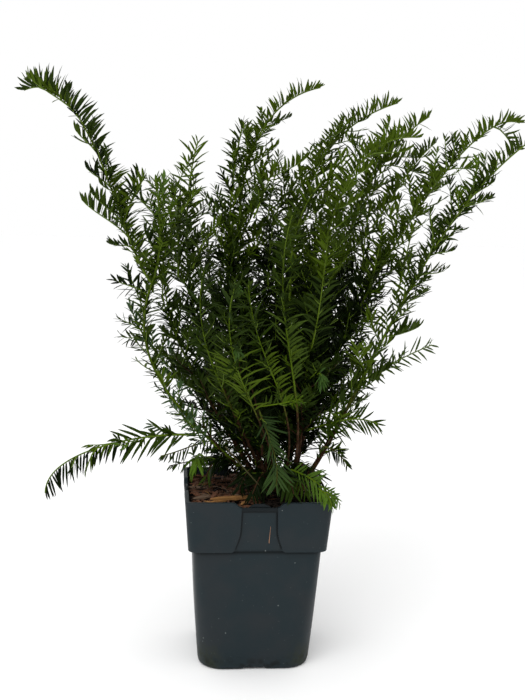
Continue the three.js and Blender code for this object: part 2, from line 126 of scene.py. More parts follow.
LEADERS = {
    "left_outer": leader(
        [[3, -3, 160], [-44, -14, 210], [-128, -24, 266], [-96, -46, 351]], [2.2, 1.4],
        0.30, 24, "round", [13, 19], "mint mid", 1.2, 0.60, green=0.3, draw=11),
    "left_front": leader(
        [[-96, -46, 349], [-87, -60, 378], [-89, -73, 406], [-94, -87, 436]], [1.6, 1],
        0.02, 24, "round", [20, 18], "mid fresh", 0.7, draw=22),
    "left_arch": leader(
        [[-96, -46, 349], [-124, -47, 379], [-148, -54, 533], [-203, -51, 507]], [1.6, 0.8],
        0.02, 13, "comb", [21, 21], "mid deep", draw=27),
    "left_inner": leader(
        [[8, -9, 160], [-9, -25, 228], [-68, -48, 288], [-53, -80, 363]], [2.6, 0.6],
        0.25, 22, "feather_left round", [24, 20], "mid deep", 1.1, 0.72),
    "left_middle": leader(
        [[1, 5, 160], [-30, 17, 230], [-81, 28, 268], [-88, 38, 357]], [2.6, 1],
        0.22, 32, "round", [24, 19], "old deep", 0.9, draw=12),
    "left_back": leader(
        [[5, 12, 160], [-51, 43, 236], [-83, 82, 383], [-55, 106, 482]], [3, 1],
        0.25, 28, "round loose", [24, 23], "old mid", 0.85, draw=1),
    "left_cluster": leader(
        [[-30, 33, 224], [-65, 52, 248], [-107, 70, 274], [-120, 87, 319]], [1.8, 0.9],
        0.1, 22, "round", [20, 17], "blue", draw=17),
    "centre_left": leader(
        [[12, 3, 160], [-21, 20, 264], [-40, 36, 386], [-14, 47, 497]], [3, 1],
        0.12, 32, "round", [24, 17], "old mid", 0.85, draw=29),
    "centre_arch": leader(
        [[19, 10, 160], [-2, 24, 237], [-69, 55, 502], [59, 55, 532]], [3.2, 0.9],
        0.12, 32, "round arch", [25, 16], "old olive", 0.85, draw=5),
    "right_back": leader(
        [[28, 9, 160], [62, 46, 274], [-10, 92, 474], [147, 112, 527]], [3.2, 0.9],
        0.12, 36, "round arch", [25, 18], "old olive", 0.8, draw=14),
    "right_top": leader(
        [[36, 10, 160], [64, 25, 258], [70, 52, 448], [167, 60, 509]], [3, 0.9],
        0.12, 38, "round arch", [25, 18], "old olive", 0.8, draw=16),
    "right_thin": leader(
        [[109, 32, 401], [129, 36, 429], [145, 41, 462], [171, 44, 484]], [1.2, 0.7],
        0.02, 12, "comb", [18, 16], "olive", draw=4),
    "right_middle": leader(
        [[35, -2, 160], [55, -14, 229], [23, -38, 485], [128, -57, 479]], [2.8, 0.9],
        0.12, 36, "round arch", [25, 18], "old olive", 0.8, draw=4),
    "right_front": leader(
        [[44, -18, 281], [46, -54, 300], [48, -70, 345], [50, -78, 392]], [1.3, 0.6],
        0.05, 8, "loose round", [20, 19], "deep mid", 1.4, 0.72, green=0.4),
    "right_long": leader(
        [[42, 3, 160], [20, 4, 196], [172, -2, 523], [234, -7, 499]], [3.2, 0.9],
        0.12, 28, "round arch", [25, 17], "old olive", 0.9, draw=26),
    "right_outer": leader(
        [[44, -6, 160], [100, -26, 253], [134, -53, 411], [222, -82, 480]], [3.2, 0.9],
        0.07, 26, "loose arch", [24, 18], "mid", 0.95, draw=29),
    "right_rise": rise(
        [[90, 22, 302], [98, 24, 335], [117, 25, 362], [130, 28, 392]], [1.6, 0.8],
        20, [22, 19], "mid olive", draw=9),
    "right_rise_low": rise(
        [[98, 1, 335], [103, -19, 352], [107, -12, 380], [109, -18, 403]], [1.3, 0.8],
        16, [20, 18], "mid olive"),
    "right_rise_high": rise(
        [[96, 3, 364], [96, 0, 384], [96, -2, 403], [101, -5, 423]], [1.2, 0.7],
        14, [21, 18], "mid olive"),
    "right_rise_outer": rise(
        [[126, -16, 344], [130, -18, 364], [132, -20, 384], [136, -23, 404]], [1.2, 0.7],
        14, [20, 17], "mid olive"),
    "centre_rise_back": rise(
        [[13, 51, 339], [16, 57, 371], [11, 63, 410], [35, 71, 436]], [1.6, 0.8],
        22, [23, 20], "deep olive", draw=27),
    "centre_rise_front": rise(
        [[26, -25, 335], [24, -31, 370], [25, -33, 412], [48, -47, 439]], [1.6, 0.8],
        22, [24, 20], "mid olive", draw=9),
    "centre_rise_left": rise(
        [[-17, 41, 387], [-3, 42, 407], [3, 35, 432], [5, 33, 456]], [1.3, 0.8],
        18, [22, 19], "mid olive"),
    "centre_rise_right": rise(
        [[45, 74, 394], [37, 65, 411], [24, 67, 432], [28, 60, 452]], [1.3, 0.8],
        17, [22, 19], "mid olive"),
    "centre_rise_high": rise(
        [[-7, -9, 407], [0, -12, 423], [3, -14, 441], [13, -17, 455]], [1.2, 0.7],
        15, [22, 18], "mid olive"),
    "left_rise_back": rise(
        [[-73, 51, 349], [-75, 56, 378], [-71, 60, 410], [-80, 70, 438]], [1.4, 0.8],
        20, [20, 18], "deep mid", step=0.8, draw=24),
    "left_rise_inner": rise(
        [[-60, 32, 359], [-54, 29, 376], [-48, 22, 391], [-36, 17, 403]], [1.3, 0.8],
        14, [22, 19], "mid", draw=27),
    "left_rise_low": rise(
        [[-72, 29, 288], [-78, 42, 303], [-92, 27, 329], [-87, 26, 348]], [1.3, 0.8],
        17, [22, 19], "deep mid"),
    "left_rise_middle": rise(
        [[-88, -6, 366], [-83, -10, 389], [-74, -14, 412], [-58, -21, 430]], [1.3, 0.8],
        17, [20, 17], "mid", draw=24),
    "left_rise_front": rise(
        [[-96, -37, 341], [-95, -44, 372], [-82, -50, 403], [-90, -58, 434]], [1.4, 0.8],
        17, [21, 18], "mid olive", draw=27),
    "front_middle": leader(
        [[16, -12, 160], [20, -61, 225], [-47, -89, 280], [-31, -133, 352]], [1.4, 0.6],
        0.44, 15, "feather_left round", [30, 21], "pale deep", 1.4, 0.70),
    "front_right": leader(
        [[24, -13, 160], [41, -70, 249], [-9, -78, 278], [-19, -119, 354]], [1.5, 0.6],
        0.45, 15, "feather_right round", [20, 19], "pale deep", 1.4, 0.68),
    "front_tall": leader(
        [[31, -11, 160], [54, -41, 241], [-3, -60, 326], [18, -92, 410]], [2.1, 0.6],
        0.42, 17, "feather_right round", [22, 19], "pale deep", 1.2, 0.64, draw=4),
    "heart_left": heart([[14, 6, 160], [2, 20, 240], [-14, 40, 310], [-22, 60, 380]], 22),
    "heart_middle": heart([[20, 12, 160], [20, 30, 240], [22, 50, 320], [24, 70, 395]], 23),
    "heart_right": heart([[30, 8, 160], [38, 18, 240], [50, 30, 320], [58, 45, 395]], 24),
    "back_left": back([[12, 18, 160], [-27, 52, 235], [-42, 108, 312], [-42, 155, 394]], 4),
    "back_centre": back([[21, 18, 160], [17, 54, 256], [9, 117, 345], [26, 168, 438]], 10),
    "back_right": back([[30, 17, 160], [58, 46, 252], [89, 103, 336], [119, 150, 424]], 29),
    "back_low_left": leader(
        [[-6, 45, 205], [-30, 80, 222], [-47, 112, 235], [-69, 157, 254]], [1.6, 0.9],
        0.1, 34, "flat", [23, 20], "dark", draw=4),
    "back_low_right": leader(
        [[53, 50, 224], [72, 78, 240], [100, 108, 258], [125, 139, 276]], [1.6, 0.9],
        0.1, 34, "flat", [23, 20], "dark", draw=24),
    "low_left": leader(
        [[-56, -14, 209], [-82, -16, 214], [-191, -20, 201], [-190, -25, 158]], [1.6, 0.8],
        0.06, 9, "ranks open_left", [26, 18], "mid deep", 2.2, 0.38, green=0.5, draw=16),
    "low_left_cluster": leader(
        [[-108, -22, 206], [-114, -24, 206], [-121, -26, 203], [-128, -27, 203]], [0.7, 0.4],
        0.0, 7, "round", [12, 11], "bright", 3.0, green=0.4),
    "low_back_left": leader(
        [[3, 22, 172], [-23, 38, 214], [-56, 53, 180], [-88, 68, 170]], [1.4, 0.8],
        0.1, 16, "open_left", [15, 13], "deep", draw=21),
    "pale_right": leader(
        [[46, -12, 214], [65, -22, 222], [87, -32, 235], [106, -46, 227]], [1.4, 0.8],
        0.1, 14, "sideways", [25, 20], "mid", 2.0, green=0.5, draw=26),
    "comb_right": leader(
        [[58, -34, 204], [67, -37, 204], [76, -41, 197], [80, -44, 188]], [0.9, 0.6],
        0.1, 8, "combing", [14, 13], "dark deep", 3.0, draw=25),
    "far_right": leader(
        [[49, 19, 217], [86, 35, 244], [138, 58, 269], [185, 78, 284]], [1.8, 0.8],
        0.1, 24, "sparse", [24, 20], "mid pale", green=0.3, draw=7),
    "hanging_front": leader(
        [[-3, -64, 243], [4, -69, 222], [16, -77, 202], [12, -79, 179]], [0.8, 0.6],
        0.08, 8, "trailing_right trailing", [28, 25], "moss grey", 3.0, 0.24, draw=9),
    "skirt_left": leader(
        [[-5, -12, 184], [-15, -21, 214], [-27, -30, 243], [-35, -39, 265]], [1.4, 0.8],
        0.1, 30, "round", [23, 20], "dark old", 0.8, green=-0.4, draw=20),
    "skirt_middle": leader(
        [[4, -29, 194], [4, -37, 218], [-2, -46, 239], [-10, -54, 264]], [1.4, 0.8],
        0.1, 26, "round", [23, 20], "dark old", 0.8, green=-0.4),
    "skirt_low": leader(
        [[-14, -4, 167], [-27, -9, 187], [-39, -15, 203], [-50, -20, 221]], [1.2, 0.8],
        0.1, 22, "hanging round", [22, 20], "dark deep", 0.9, green=-0.4, draw=11),
    "drape": leader(
        [[-18, -10, 182], [-30, -13, 193], [-41, -15, 188], [-46, -18, 170]], [1.2, 0.7],
        0.0, 14, "hanging", [23, 21], "deep mid", 1.2, green=-0.4, draw=4),
    "back_drape": leader(
        [[-25, 22, 175], [-39, 28, 184], [-50, 34, 178], [-57, 40, 163]], [1.2, 0.7],
        0.0, 16, "hanging", [22, 19], "dark deep", 0.9, green=-0.4, draw=13),
    "back_drape_inner": leader(
        [[-12, 25, 175], [-20, 29, 186], [-29, 34, 183], [-34, 37, 166]], [1.2, 0.7],
        0.0, 16, "hanging", [22, 19], "dark", 0.9, green=-0.4, draw=26),
    "bottom_right": leader(
        [[29, -41, 184], [42, -54, 183], [55, -67, 177], [60, -84, 170]], [1.2, 0.7],
        0.05, 10, "sideways", [21, 20], "bright", 4.0, green=0.6, draw=9),
    "bottom_tip": leader(
        [[50, -71, 175], [55, -77, 173], [60, -84, 170], [59, -90, 164]], [0.8, 0.5],
        0.0, 8, "open_right", [16, 15], "lime", 3.0, green=0.4),
    "bottom_tip_right": leader(
        [[53, -75, 173], [58, -80, 174], [63, -86, 171], [66, -91, 167]], [0.8, 0.5],
        0.0, 8, "sideways", [14, 13], "bright", 3.0, green=0.6, draw=17),
    "left_fan": leader(
        [[-56, 8, 184], [-55, 2, 185], [-54, -4, 184], [-54, -10, 180]], [0.9, 0.6],
        0.0, 8, "fan", [23, 22], "lime", 3.0, green=0.4, draw=23),
    "crossing": leader(
        [[-4, -66, 246], [7, -75, 249], [19, -84, 253], [29, -93, 258]], [0.9, 0.6],
        0.08, 6, "standing", [12, 12], "fresh", 3.0, green=0.3),
    "crossing_tip": leader(
        [[21, -87, 252], [24, -90, 255], [28, -93, 257], [30, -95, 257]], [0.7, 0.4],
        0.0, 6, "claw", [11, 10], "bright", 3.0, green=0.4),
    "claw_right": leader(
        [[44, -86, 278], [45, -90, 281], [46, -93, 280], [46, -96, 272]], [0.6, 0.4],
        0.3, 6, "claw", [18, 18], "jade", 8.0, 0.6),
    "claw_left": leader(
        [[-29, -106, 301], [-27, -109, 304], [-26, -112, 303], [-26, -115, 297]], [0.5, 0.4],
        0.3, 6, "claw", [12, 12], "jade", 9.0, 0.65),
    "claw_high": leader(
        [[-27, -66, 352], [-26, -70, 354], [-25, -74, 352], [-25, -75, 345]], [0.5, 0.4],
        0.3, 6, "claw", [12, 12], "jade", 9.0, 0.65),
    "base_left": fringe([[6, -11, 176], [-2, -20, 186], [-10, -29, 181], [-16, -37, 166]], "dark", 19),
    "base_front": fringe([[11, -21, 175], [4, -36, 183], [-1, -48, 176], [-6, -54, 165]], "dark", 10),
    "base_front_right": fringe(
        [[22, -22, 175], [29, -37, 185], [36, -52, 179], [41, -58, 168]], "dark deep", 10),
    "base_right": fringe([[26, -13, 180], [39, -28, 190], [49, -39, 185], [57, -48, 173]], "dark", 29),
    "base_middle": fringe(
        [[14, -21, 179], [19, -42, 191], [26, -59, 185], [29, -67, 169]], "dark deep", 9),
    "base_back_left": fringe([[2, 10, 173], [-7, 15, 181], [-18, 20, 176], [-25, 22, 164]], "dark", 2),
    "low_tuft_one": tuft([[-47, -16, 200], [-52, -23, 211], [-58, -29, 219], [-64, -32, 227]], "mint", 9),
    "low_tuft_two": tuft([[-56, -15, 209], [-61, -18, 221], [-69, -22, 230], [-78, -23, 238]], "mint", 9),
    "low_tuft_three": tuft(
        [[-65, -14, 220], [-70, -13, 233], [-74, -13, 240], [-85, -12, 245]], "mid mint", 24),
    "behind_low_left": leader(
        [[-2, 22, 172], [-26, 43, 180], [-53, 61, 168], [-79, 72, 159]], [1.2, 0.7],
        0.1, 10, "open_left", [14, 12], "dark deep", green=-0.4, draw=29),
}

# Side shoots that have a place of their own: the leader, how far along it they leave it, their
# tip in millimetres and their spray colours.
PLACED_SHOOTS = [
    ("left_arch", 0.58, [-161, -55, 476], "deep"),
    ("left_arch", 0.43, [-152, -51, 445], "deep"),
    ("left_arch", 0.21, [-156, -52, 419], "deep"),
    ("left_arch", 0.28, [-109, -41, 444], "deep"),
    ("left_arch", 0.17, [-131, -51, 382], "deep"),
    ("left_outer", 0.94, [-128, -47, 352], "deep"),
    ("left_outer", 0.86, [-118, -36, 362], "deep"),
    ("left_cluster", 0.82, [-131, 72, 307], "blue"),
    ("left_cluster", 0.72, [-130, 81, 288], "blue"),
    ("left_back", 0.74, [-38, 79, 419], "deep"),
    ("left_back", 0.68, [-30, 89, 403], "deep"),
    ("left_back", 0.62, [-31, 71, 381], "deep"),
    ("left_front", 0.70, [-86, -84, 438], "bright"),
    ("left_front", 0.49, [-80, -77, 416], "fresh"),
    ("left_front", 0.59, [-113, -62, 428], "deep"),
    ("centre_left", 0.87, [-25, 38, 477], "deep"),
    ("centre_left", 0.80, [-34, 35, 448], "deep"),
    ("centre_left", 0.72, [-40, 45, 435], "deep"),
    ("centre_left", 0.66, [-50, 32, 426], "deep"),
    ("centre_arch", 0.83, [19, 47, 496], "olive"),
    ("centre_arch", 0.75, [-9, 56, 495], "olive"),
    ("centre_arch", 0.72, [-24, 44, 475], "olive"),
    ("centre_arch", 0.74, [18, 39, 476], "olive"),
    ("centre_arch", 0.66, [45, 27, 465], "olive"),
    ("right_back", 0.80, [92, 106, 510], "olive"),
    ("right_top", 0.74, [125, 42, 503], "olive"),
    ("right_top", 0.84, [131, 61, 494], "olive"),
    ("right_long", 0.79, [165, -8, 484], "olive"),
    ("right_long", 0.82, [175, 3, 487], "olive"),
    ("right_long", 0.72, [158, -10, 472], "olive"),
    ("right_outer", 0.82, [192, -73, 443], "deep"),
    ("right_outer", 0.79, [194, -59, 429], "deep"),
    ("right_outer", 0.72, [168, -66, 401], "deep"),
    ("right_outer", 0.65, [164, -60, 384], "deep"),
    ("right_outer", 0.59, [161, -42, 365], "deep"),
    ("right_outer", 0.80, [177, -73, 460], "fresh"),
    ("right_outer", 0.73, [159, -52, 444], "deep"),
    ("right_outer", 0.66, [141, -60, 416], "deep"),
    ("low_left", 0.58, [-154, -34, 183], "mid"),
    ("low_left", 0.70, [-166, -36, 184], "deep"),
    ("right_middle", 0.87, [124, -47, 469], "olive"),
    ("left_arch", 0.27, [-104, -57, 439], "mid"),
    ("left_rise_back", 0.89, [-62, 72, 465], "olive"),
    ("left_rise_front", 0.47, [-100, -45, 423], "olive"),
    ("right_long", 0.80, [197, 0, 458], "olive"),
    ("right_top", 0.82, [164, 46, 454], "olive"),
    ("right_top", 0.84, [166, 51, 471], "olive"),
    ("left_arch", 0.27, [-148, -53, 425], "mid"),
    ("left_arch", 0.77, [-198, -55, 517], "olive"),
    ("right_long", 0.94, [235, -2, 476], "olive"),
    ("right_rise", 0.95, [135, 30, 430], "olive"),
    ("right_top", 0.81, [85, 56, 487], "olive"),
    ("left_outer", 0.79, [-101, -33, 349], "olive"),
    ("left_arch", 0.48, [-135, -52, 461], "mid"),
    ("low_left", 0.45, [-151, -18, 201], "olive"),
    ("heart_middle", 0.97, [22, 70, 433], "mid"),
    ("left_rise_back", 0.69, [-105, 68, 443], "olive"),
    ("right_outer", 0.83, [186, -63, 464], "olive"),
    ("back_centre", 0.97, [32, 159, 475], "olive"),
    ("low_left", 0.10, [-97, -7, 218], "blue"),
    ("centre_rise_front", 0.80, [60, -40, 451], "olive"),
    ("left_arch", 0.83, [-202, -42, 516], "olive"),
]

# How needles sit. spread and scatter: the angle of their two ranks from straight up, in degrees.
# lean: their angle to the shoot at the foot. sickle: how far the tip bends back, as a share of the
# length. facing: how much the blade faces up rather than along the shoot. lift: the tip's rise.
# step: how far apart they stand, where 1 is usual. roll: how far both ranks are turned round the
# shoot, in degrees. first: the share of the needles that stand in the first rank. width: how wide
# they are, where 1 is usual.


def habit(spread, scatter, lean, sickle, facing, lift, step=1.0, roll=0, first=0.5, width=1.0):
    """One row of the table of habits."""
    return {"spread": spread, "scatter": scatter, "lean": lean, "sickle": sickle, "facing": facing,
            "lift": lift, "step": step, "roll": math.radians(roll), "first": first, "width": width}


HABITS = {
    "round": habit(None, 14, 60, 0.16, 0.4, 0.03),
    "comb": habit(40, 15, 66, 0.17, 0.5, 0.03),
    "arch": habit(40, 16, 63, 0.20, 0.5, 0.03, 1.1),
    "flat": habit(80, 10, 46, 0.22, 0.95, -0.01, 1.4),
    "hanging": habit(112, 20, 48, 0.06, 0.8, -0.20),
    "trailing": habit(80, 14, 42, 0.08, 0.95, -0.06, 0.95, width=0.78),
    "trailing_right": habit(80, 16, 58, 0.10, 0.9, -0.02, 1.0, first=0.25, width=0.72),
    "open_left": habit(90, 30, 62, 0.04, 0.9, -0.12, 1.7, -90, 0.0, 0.8),
    "open_right": habit(90, 34, 56, 0.04, 0.9, -0.12, 0.8, 90, 1.0, 0.9),
    "ranks": habit(76, 18, 44, 0.06, 0.9, -0.06, 1.9, -90, 0.42, 0.95),
    "combing": habit(84, 22, 50, 0.04, 0.9, -0.10, 0.8, 90, width=0.7),
    "claw": habit(None, 20, 88, 0.0, 0.4, -0.34, 0.34, width=0.66),
    "standing": habit(24, 26, 62, 0.05, 0.6, 0.04, 1.35, width=0.75),
    "feather_left": habit(80, 8, 48, 0.22, 0.95, -0.01, 1.35, first=0.66, width=0.72),
    "feather_right": habit(78, 8, 44, 0.26, 0.95, 0.02, 1.7, first=0.22, width=0.78),
    "sideways": habit(78, 18, 46, 0.06, 0.9, -0.06, 0.95, 90, width=0.76),
    "fan": habit(100, 40, 62, 0.0, 0.6, -0.50, 0.5, width=0.85),
    "loose": habit(80, 16, 44, 0.20, 0.95, -0.02, 1.9, width=0.85),
    "sparse": habit(80, 28, 44, 0.12, 0.9, -0.04, 2.0, 90, width=0.85),
}

# The needle colours: upper side and underside. dark is near black, partly painted shade: besides the dark
# of old needles, it stands for the shade deep inside the crown.
TINTS = {
    "dark": ((0.0032, 0.0072, 0.0008), (0.0060, 0.0115, 0.0018)),
    "deep": ((0.0130, 0.0260, 0.0024), (0.0200, 0.0355, 0.0050)),
    "mid": ((0.0200, 0.0385, 0.0020), (0.0300, 0.0500, 0.0055)),
    "olive": ((0.0430, 0.0750, 0.0020), (0.0530, 0.0860, 0.0060)),
    "fresh": ((0.0400, 0.0760, 0.0026), (0.0530, 0.0940, 0.0065)),
    "bright": ((0.0560, 0.1060, 0.0130), (0.0730, 0.1300, 0.0250)),
    # lime is a fresh green made lighter still: partly painted light, where light falls straight on a spray.
    "lime": ((0.0660, 0.1270, 0.0110), (0.0820, 0.1500, 0.0220)),
    "blue": ((0.0260, 0.0560, 0.0190), (0.0430, 0.0800, 0.0340)),
    "mint": ((0.0440, 0.0860, 0.0280), (0.0620, 0.1100, 0.0440)),
    "grey": ((0.0270, 0.0520, 0.0130), (0.0640, 0.0920, 0.0400)),
    "moss": ((0.0230, 0.0450, 0.0120), (0.0400, 0.0680, 0.0240)),
    "jade": ((0.0310, 0.0660, 0.0120), (0.0500, 0.0900, 0.0270)),
    "pale": ((0.0370, 0.0660, 0.0064), (0.0470, 0.0780, 0.0108)),
}

# The tints that sprays take, by share.
SPRAYS = {
    # old is mostly dark: old needles, with painted shade for the crown's inside.
    "old": {"dark": 0.50, "deep": 0.40, "mid": 0.10},
    "dark": {"dark": 0.8, "deep": 0.2},
    "deep": {"deep": 0.58, "mid": 0.27, "dark": 0.15},
    "olive": {"olive": 0.72, "mid": 0.28},
    "pale": {"pale": 0.8, "olive": 0.2},
    "fresh": {"fresh": 0.5, "mid": 0.35, "olive": 0.15},
    "bright": {"bright": 0.8, "fresh": 0.2},
    "blue": {"blue": 0.75, "deep": 0.25},
    "jade": {"jade": 1.0},
    "lime": {"lime": 1.0},
    "mint": {"mint": 0.8, "mid": 0.2},
    "grey": {"grey": 1.0},
    "moss": {"moss": 1.0},
    "mid": {"mid": 0.6, "deep": 0.2, "olive": 0.2},
}


def size(name, default, description):
    """A length that a user may change, in metres."""
    return FloatProperty(
        name=name, default=default, description=description, unit="LENGTH", precision=4, min=0)


def colour(name, default, description):
    """A colour that a user may change."""
    return FloatVectorProperty(name=name, default=default, description=description, subtype="COLOR", size=3)


def share(name, default, description):
    """A plain number that a user may change."""
    return FloatProperty(name=name, default=default, description=description, min=0)


def angle(name, degrees, description):
    """An angle that a user may change, given in degrees."""
    return FloatProperty(
        name=name, default=math.radians(degrees), description=description, subtype="ANGLE")


class PotSettings(bpy.types.PropertyGroup):
    """Sizes and colour of the nursery pot, which follow the frame's own pot."""

    height: size("Height", 0.160, "From the underside to the rim")
    wall: size("Wall", 0.0018, "Thickness of the walls")
    floor: size("Floor", 0.0024, "Thickness of the floor")
    foot_side: size("Foot side", 0.102, "Side of the underside")
    foot_corner: size("Foot corner", 0.023, "Corner radius of the underside")
    waist_side: size("Waist side", 0.116, "Side of the body, level with the collar's lower edge")
    waist_corner: size("Waist corner", 0.010, "Corner radius there")
    neck_side: size("Neck side", 0.1275, "Side of the body just under the rim")
    neck_corner: size("Neck corner", 0.008, "Corner radius there")
    collar_height: size("Collar height", 0.046, "From the collar's lower edge to the rim")
    collar_side: size("Collar side", 0.124, "Side of the collar at its lower edge")
    collar_corner: size("Collar corner", 0.009, "Corner radius there")
    rim_side: size("Rim side", 0.131, "Side of the rim")
    rim_corner: size("Rim corner", 0.006, "Corner radius of the rim")
    label_half: size("Label half width", 0.0155, "Half the bare place in the middle of each side")
    label_flare: size("Label flare", 0.0042, "How much wider that place is at its foot")
    shoulder_drop: size("Shoulder drop", 0.0045, "How far the rim slopes down beside the label place")
    plastic: colour("Plastic", (0.0142, 0.0213, 0.0243), "The slate grey of the plastic")


class SoilSettings(bpy.types.PropertyGroup):
    """Level and mulch of the soil."""

    level: size("Level", 0.151, "Height of the soil above the underside")
    chips: IntProperty(name="Bark chips", default=1500, min=0, description="Number of small bark shreds")
    chip_length: size("Chip length", 0.0095, "Usual length of a shred")
    earth: colour("Earth", (0.0022, 0.0013, 0.0008), "The dark of the moist compost")


class PlantSettings(bpy.types.PropertyGroup):
    """The growth rule's sizes."""

    seed: IntProperty(name="Seed", default=7, description="Start of the random draws")
    stem_share: share("Stem share", 0.74, "Radius of the leading stems, against the frame's")
    needle_width: size("Needle width", 0.0029, "Width of a full needle")
    needle_step: size("Needle step", 0.0017, "Distance along the shoot from needle to needle")
    side_step: size("Side step", 0.0058, "Usual distance between side shoots")
    side_first: size("Side first", 0.014, "Length of the youngest side shoot")
    side_gain: share("Side gain", 0.30, "Growth of side shoots for each metre away from the tip")
    clear_tip: size("Clear tip", 0.042, "Length of a leader's tip without side shoots")
    twig_radius: size("Twig radius", 0.0008, "Radius at a side shoot's foot")
    bark: colour("Bark", (0.034, 0.0150, 0.0060), "Old stems")
    shoot: colour("Shoot", (0.077, 0.130, 0.002), "Young stems")


class StageSettings(bpy.types.PropertyGroup):
    """Camera and light."""

    distance: size("Distance", 0.91508, "From the plant's axis to the camera, along the floor")
    side: size("Side", 0.00478, "Shift of the camera to its right")
    height: size("Height", 0.40546, "Camera above the floor")
    turn: angle("Turn", -5.35, "Bearing of the view")
    pitch: angle("Pitch", 7.39, "Downward tilt")
    roll: angle("Roll", 1.43, "Roll of the view")
    lens: FloatProperty(name="Lens", default=51.43, description="Focal length over a 36 mm long side")
    sky: share("Sky", 0.86, "Strength of the light from all round")
    key: share("Key", 24.0, "Power of the soft light above")


# ---- Meshes ----------------------------------------------------------------------------------


class Clay:
    """Gathers points with their faces, then sets them all into one mesh."""

    def __init__(self):
        self.points, self.shades = [], []
        self.quads, self.quad_slots = [], []
        self.triangles, self.triangle_slots = [], []
        self.count = 0

    def add(self, points, quads, triangles=(), slot=0, triangle_slot=None, shades=None):
        """Adds points and the faces that join them by number. Triangles take the quads' slot where
        they have none of their own."""
        points = points.reshape(-1, 3)
        self.points.append(points)
        self.shades.append(np.zeros(len(points)) if shades is None else shades)
        self.quads.append(quads + self.count)
        self.quad_slots.append(np.broadcast_to(slot, len(quads)))
        if len(triangles):
            self.triangles.append(triangles + self.count)
            slot = slot if triangle_slot is None else triangle_slot
            self.triangle_slots.append(np.broadcast_to(slot, len(triangles)))
        self.count += len(points)

    def rings(self, points, ends=True, slot=0, shades=None):
        """Adds rings of points, one to a row: each face joins four neighbours, and the last column
        meets the first. ends closes the first and the last ring with a fan round its middle."""
        rows, columns = points.shape[:2]
        flat, triangles = points.reshape(-1, 3), ()
        if ends:
            here = np.arange(columns)
            after = (here + 1) % columns
            middle, top = np.full(columns, rows * columns), (rows - 1) * columns
            low = np.stack([middle, after, here], 1)
            high = np.stack([middle + 1, top + here, top + after], 1)
            triangles = np.concatenate([low, high])
            flat = np.concatenate([flat, [points[0].mean(0), points[-1].mean(0)]])
            if shades is not None:
                shades = np.append(shades, [shades[0, 0], shades[-1, -1]])
        self.add(flat, grid_quads(rows, columns, True), triangles, slot, shades=shades)

    def shell(self, outer, inner):
        """Adds a wall between two grids of like shape, closed along its four edges."""
        rows, columns = outer.shape[:2]
        total = rows * columns
        face = grid_quads(rows, columns, False)
        quads = [face[:, ::-1], total + face]
        along, down = np.arange(columns), np.arange(rows) * columns
        edges = [(along, False), (down[-1] + along, True), (down, True), (down + columns - 1, False)]
        for edge, turned in edges:
            a, b = edge[:-1], edge[1:]
            strip = np.stack([b + total, a + total, a, b], 1)
            quads.append(strip[:, ::-1] if turned else strip)
        self.add(np.stack([outer, inner]), np.concatenate(quads))

    def piece(self, name, materials, smooth=True, attribute=None):
        """Sets what was gathered into a mesh and puts it into the scene as one object."""
        points = np.concatenate(self.points)
        quads = np.concatenate(self.quads)
        triangles = np.concatenate([np.empty((0, 3), int), *self.triangles])
        slots = np.concatenate([*self.quad_slots, *self.triangle_slots])
        mesh = bpy.data.meshes.new(name)
        mesh.vertices.add(len(points))
        mesh.vertices.foreach_set("co", points.astype(np.float32).ravel())
        corners = np.concatenate([quads.ravel(), triangles.ravel()]).astype(np.int32)
        mesh.loops.add(len(corners))
        mesh.loops.foreach_set("vertex_index", corners)
        starts = np.concatenate([np.arange(len(quads)) * 4, len(quads) * 4 + np.arange(len(triangles)) * 3])
        mesh.polygons.add(len(starts))
        mesh.polygons.foreach_set("loop_start", starts.astype(np.int32))
        for material in materials:
            mesh.materials.append(material)
        mesh.polygons.foreach_set("material_index", slots.astype(np.int32))
        mesh.polygons.foreach_set("use_smooth", np.full(len(starts), smooth))
        if attribute is not None:
            layer = mesh.attributes.new(attribute, "FLOAT", "POINT")
            layer.data.foreach_set("value", np.concatenate(self.shades).astype(np.float32))
        mesh.update(calc_edges=True)
        mesh.validate()
        piece = bpy.data.objects.new(name, mesh)
        bpy.context.scene.collection.objects.link(piece)
        return piece


def grid_quads(rows, columns, around):
    """The faces of a grid of points, four neighbours each, numbered row by row."""
    numbers = np.arange(rows * columns).reshape(rows, columns)
    if around:
        numbers = np.concatenate([numbers, numbers[:, :1]], 1)
    corners = [numbers[:-1, :-1], numbers[:-1, 1:], numbers[1:, 1:], numbers[1:, :-1]]
    return np.stack([corner.ravel() for corner in corners], 1)


def smooth(x, low, high):
    """0 below low, 1 above high, and a smooth S between them."""
    t = np.clip((x - low) / (high - low), 0, 1)
    return t * t * (3 - 2 * t)


def unit(vectors):
    """Vectors of length one."""
    return vectors / np.maximum(np.linalg.norm(vectors, axis=-1, keepdims=True), 1e-12)


def bezier(points, count):
    """A cubic curve at evenly spaced parameters: the four points weighed by (1-t)^3, 3t(1-t)^2,
    3t^2(1-t) and t^3."""
    t = np.linspace(0, 1, count)[:, None]
    a, b, c, d = points
    return (1 - t) ** 3 * a + 3 * t * (1 - t) ** 2 * b + 3 * t * t * (1 - t) * c + t ** 3 * d


class Line:
    """A polyline that can be read at any distance along it."""

    def __init__(self, points):
        self.points = points
        steps = np.linalg.norm(np.diff(points, axis=0), axis=1)
        self.along = np.concatenate([[0], np.cumsum(steps)])
        self.length = self.along[-1]
        self.ways = unit(np.gradient(points, self.along, axis=0))

    def at(self, distances):
        """Points at these distances from the foot."""
        return np.stack([np.interp(distances, self.along, self.points[:, k]) for k in range(3)], -1)

    def way(self, distances):
        """The line's direction at these distances."""
        return unit(np.stack([np.interp(distances, self.along, self.ways[:, k]) for k in range(3)], -1))


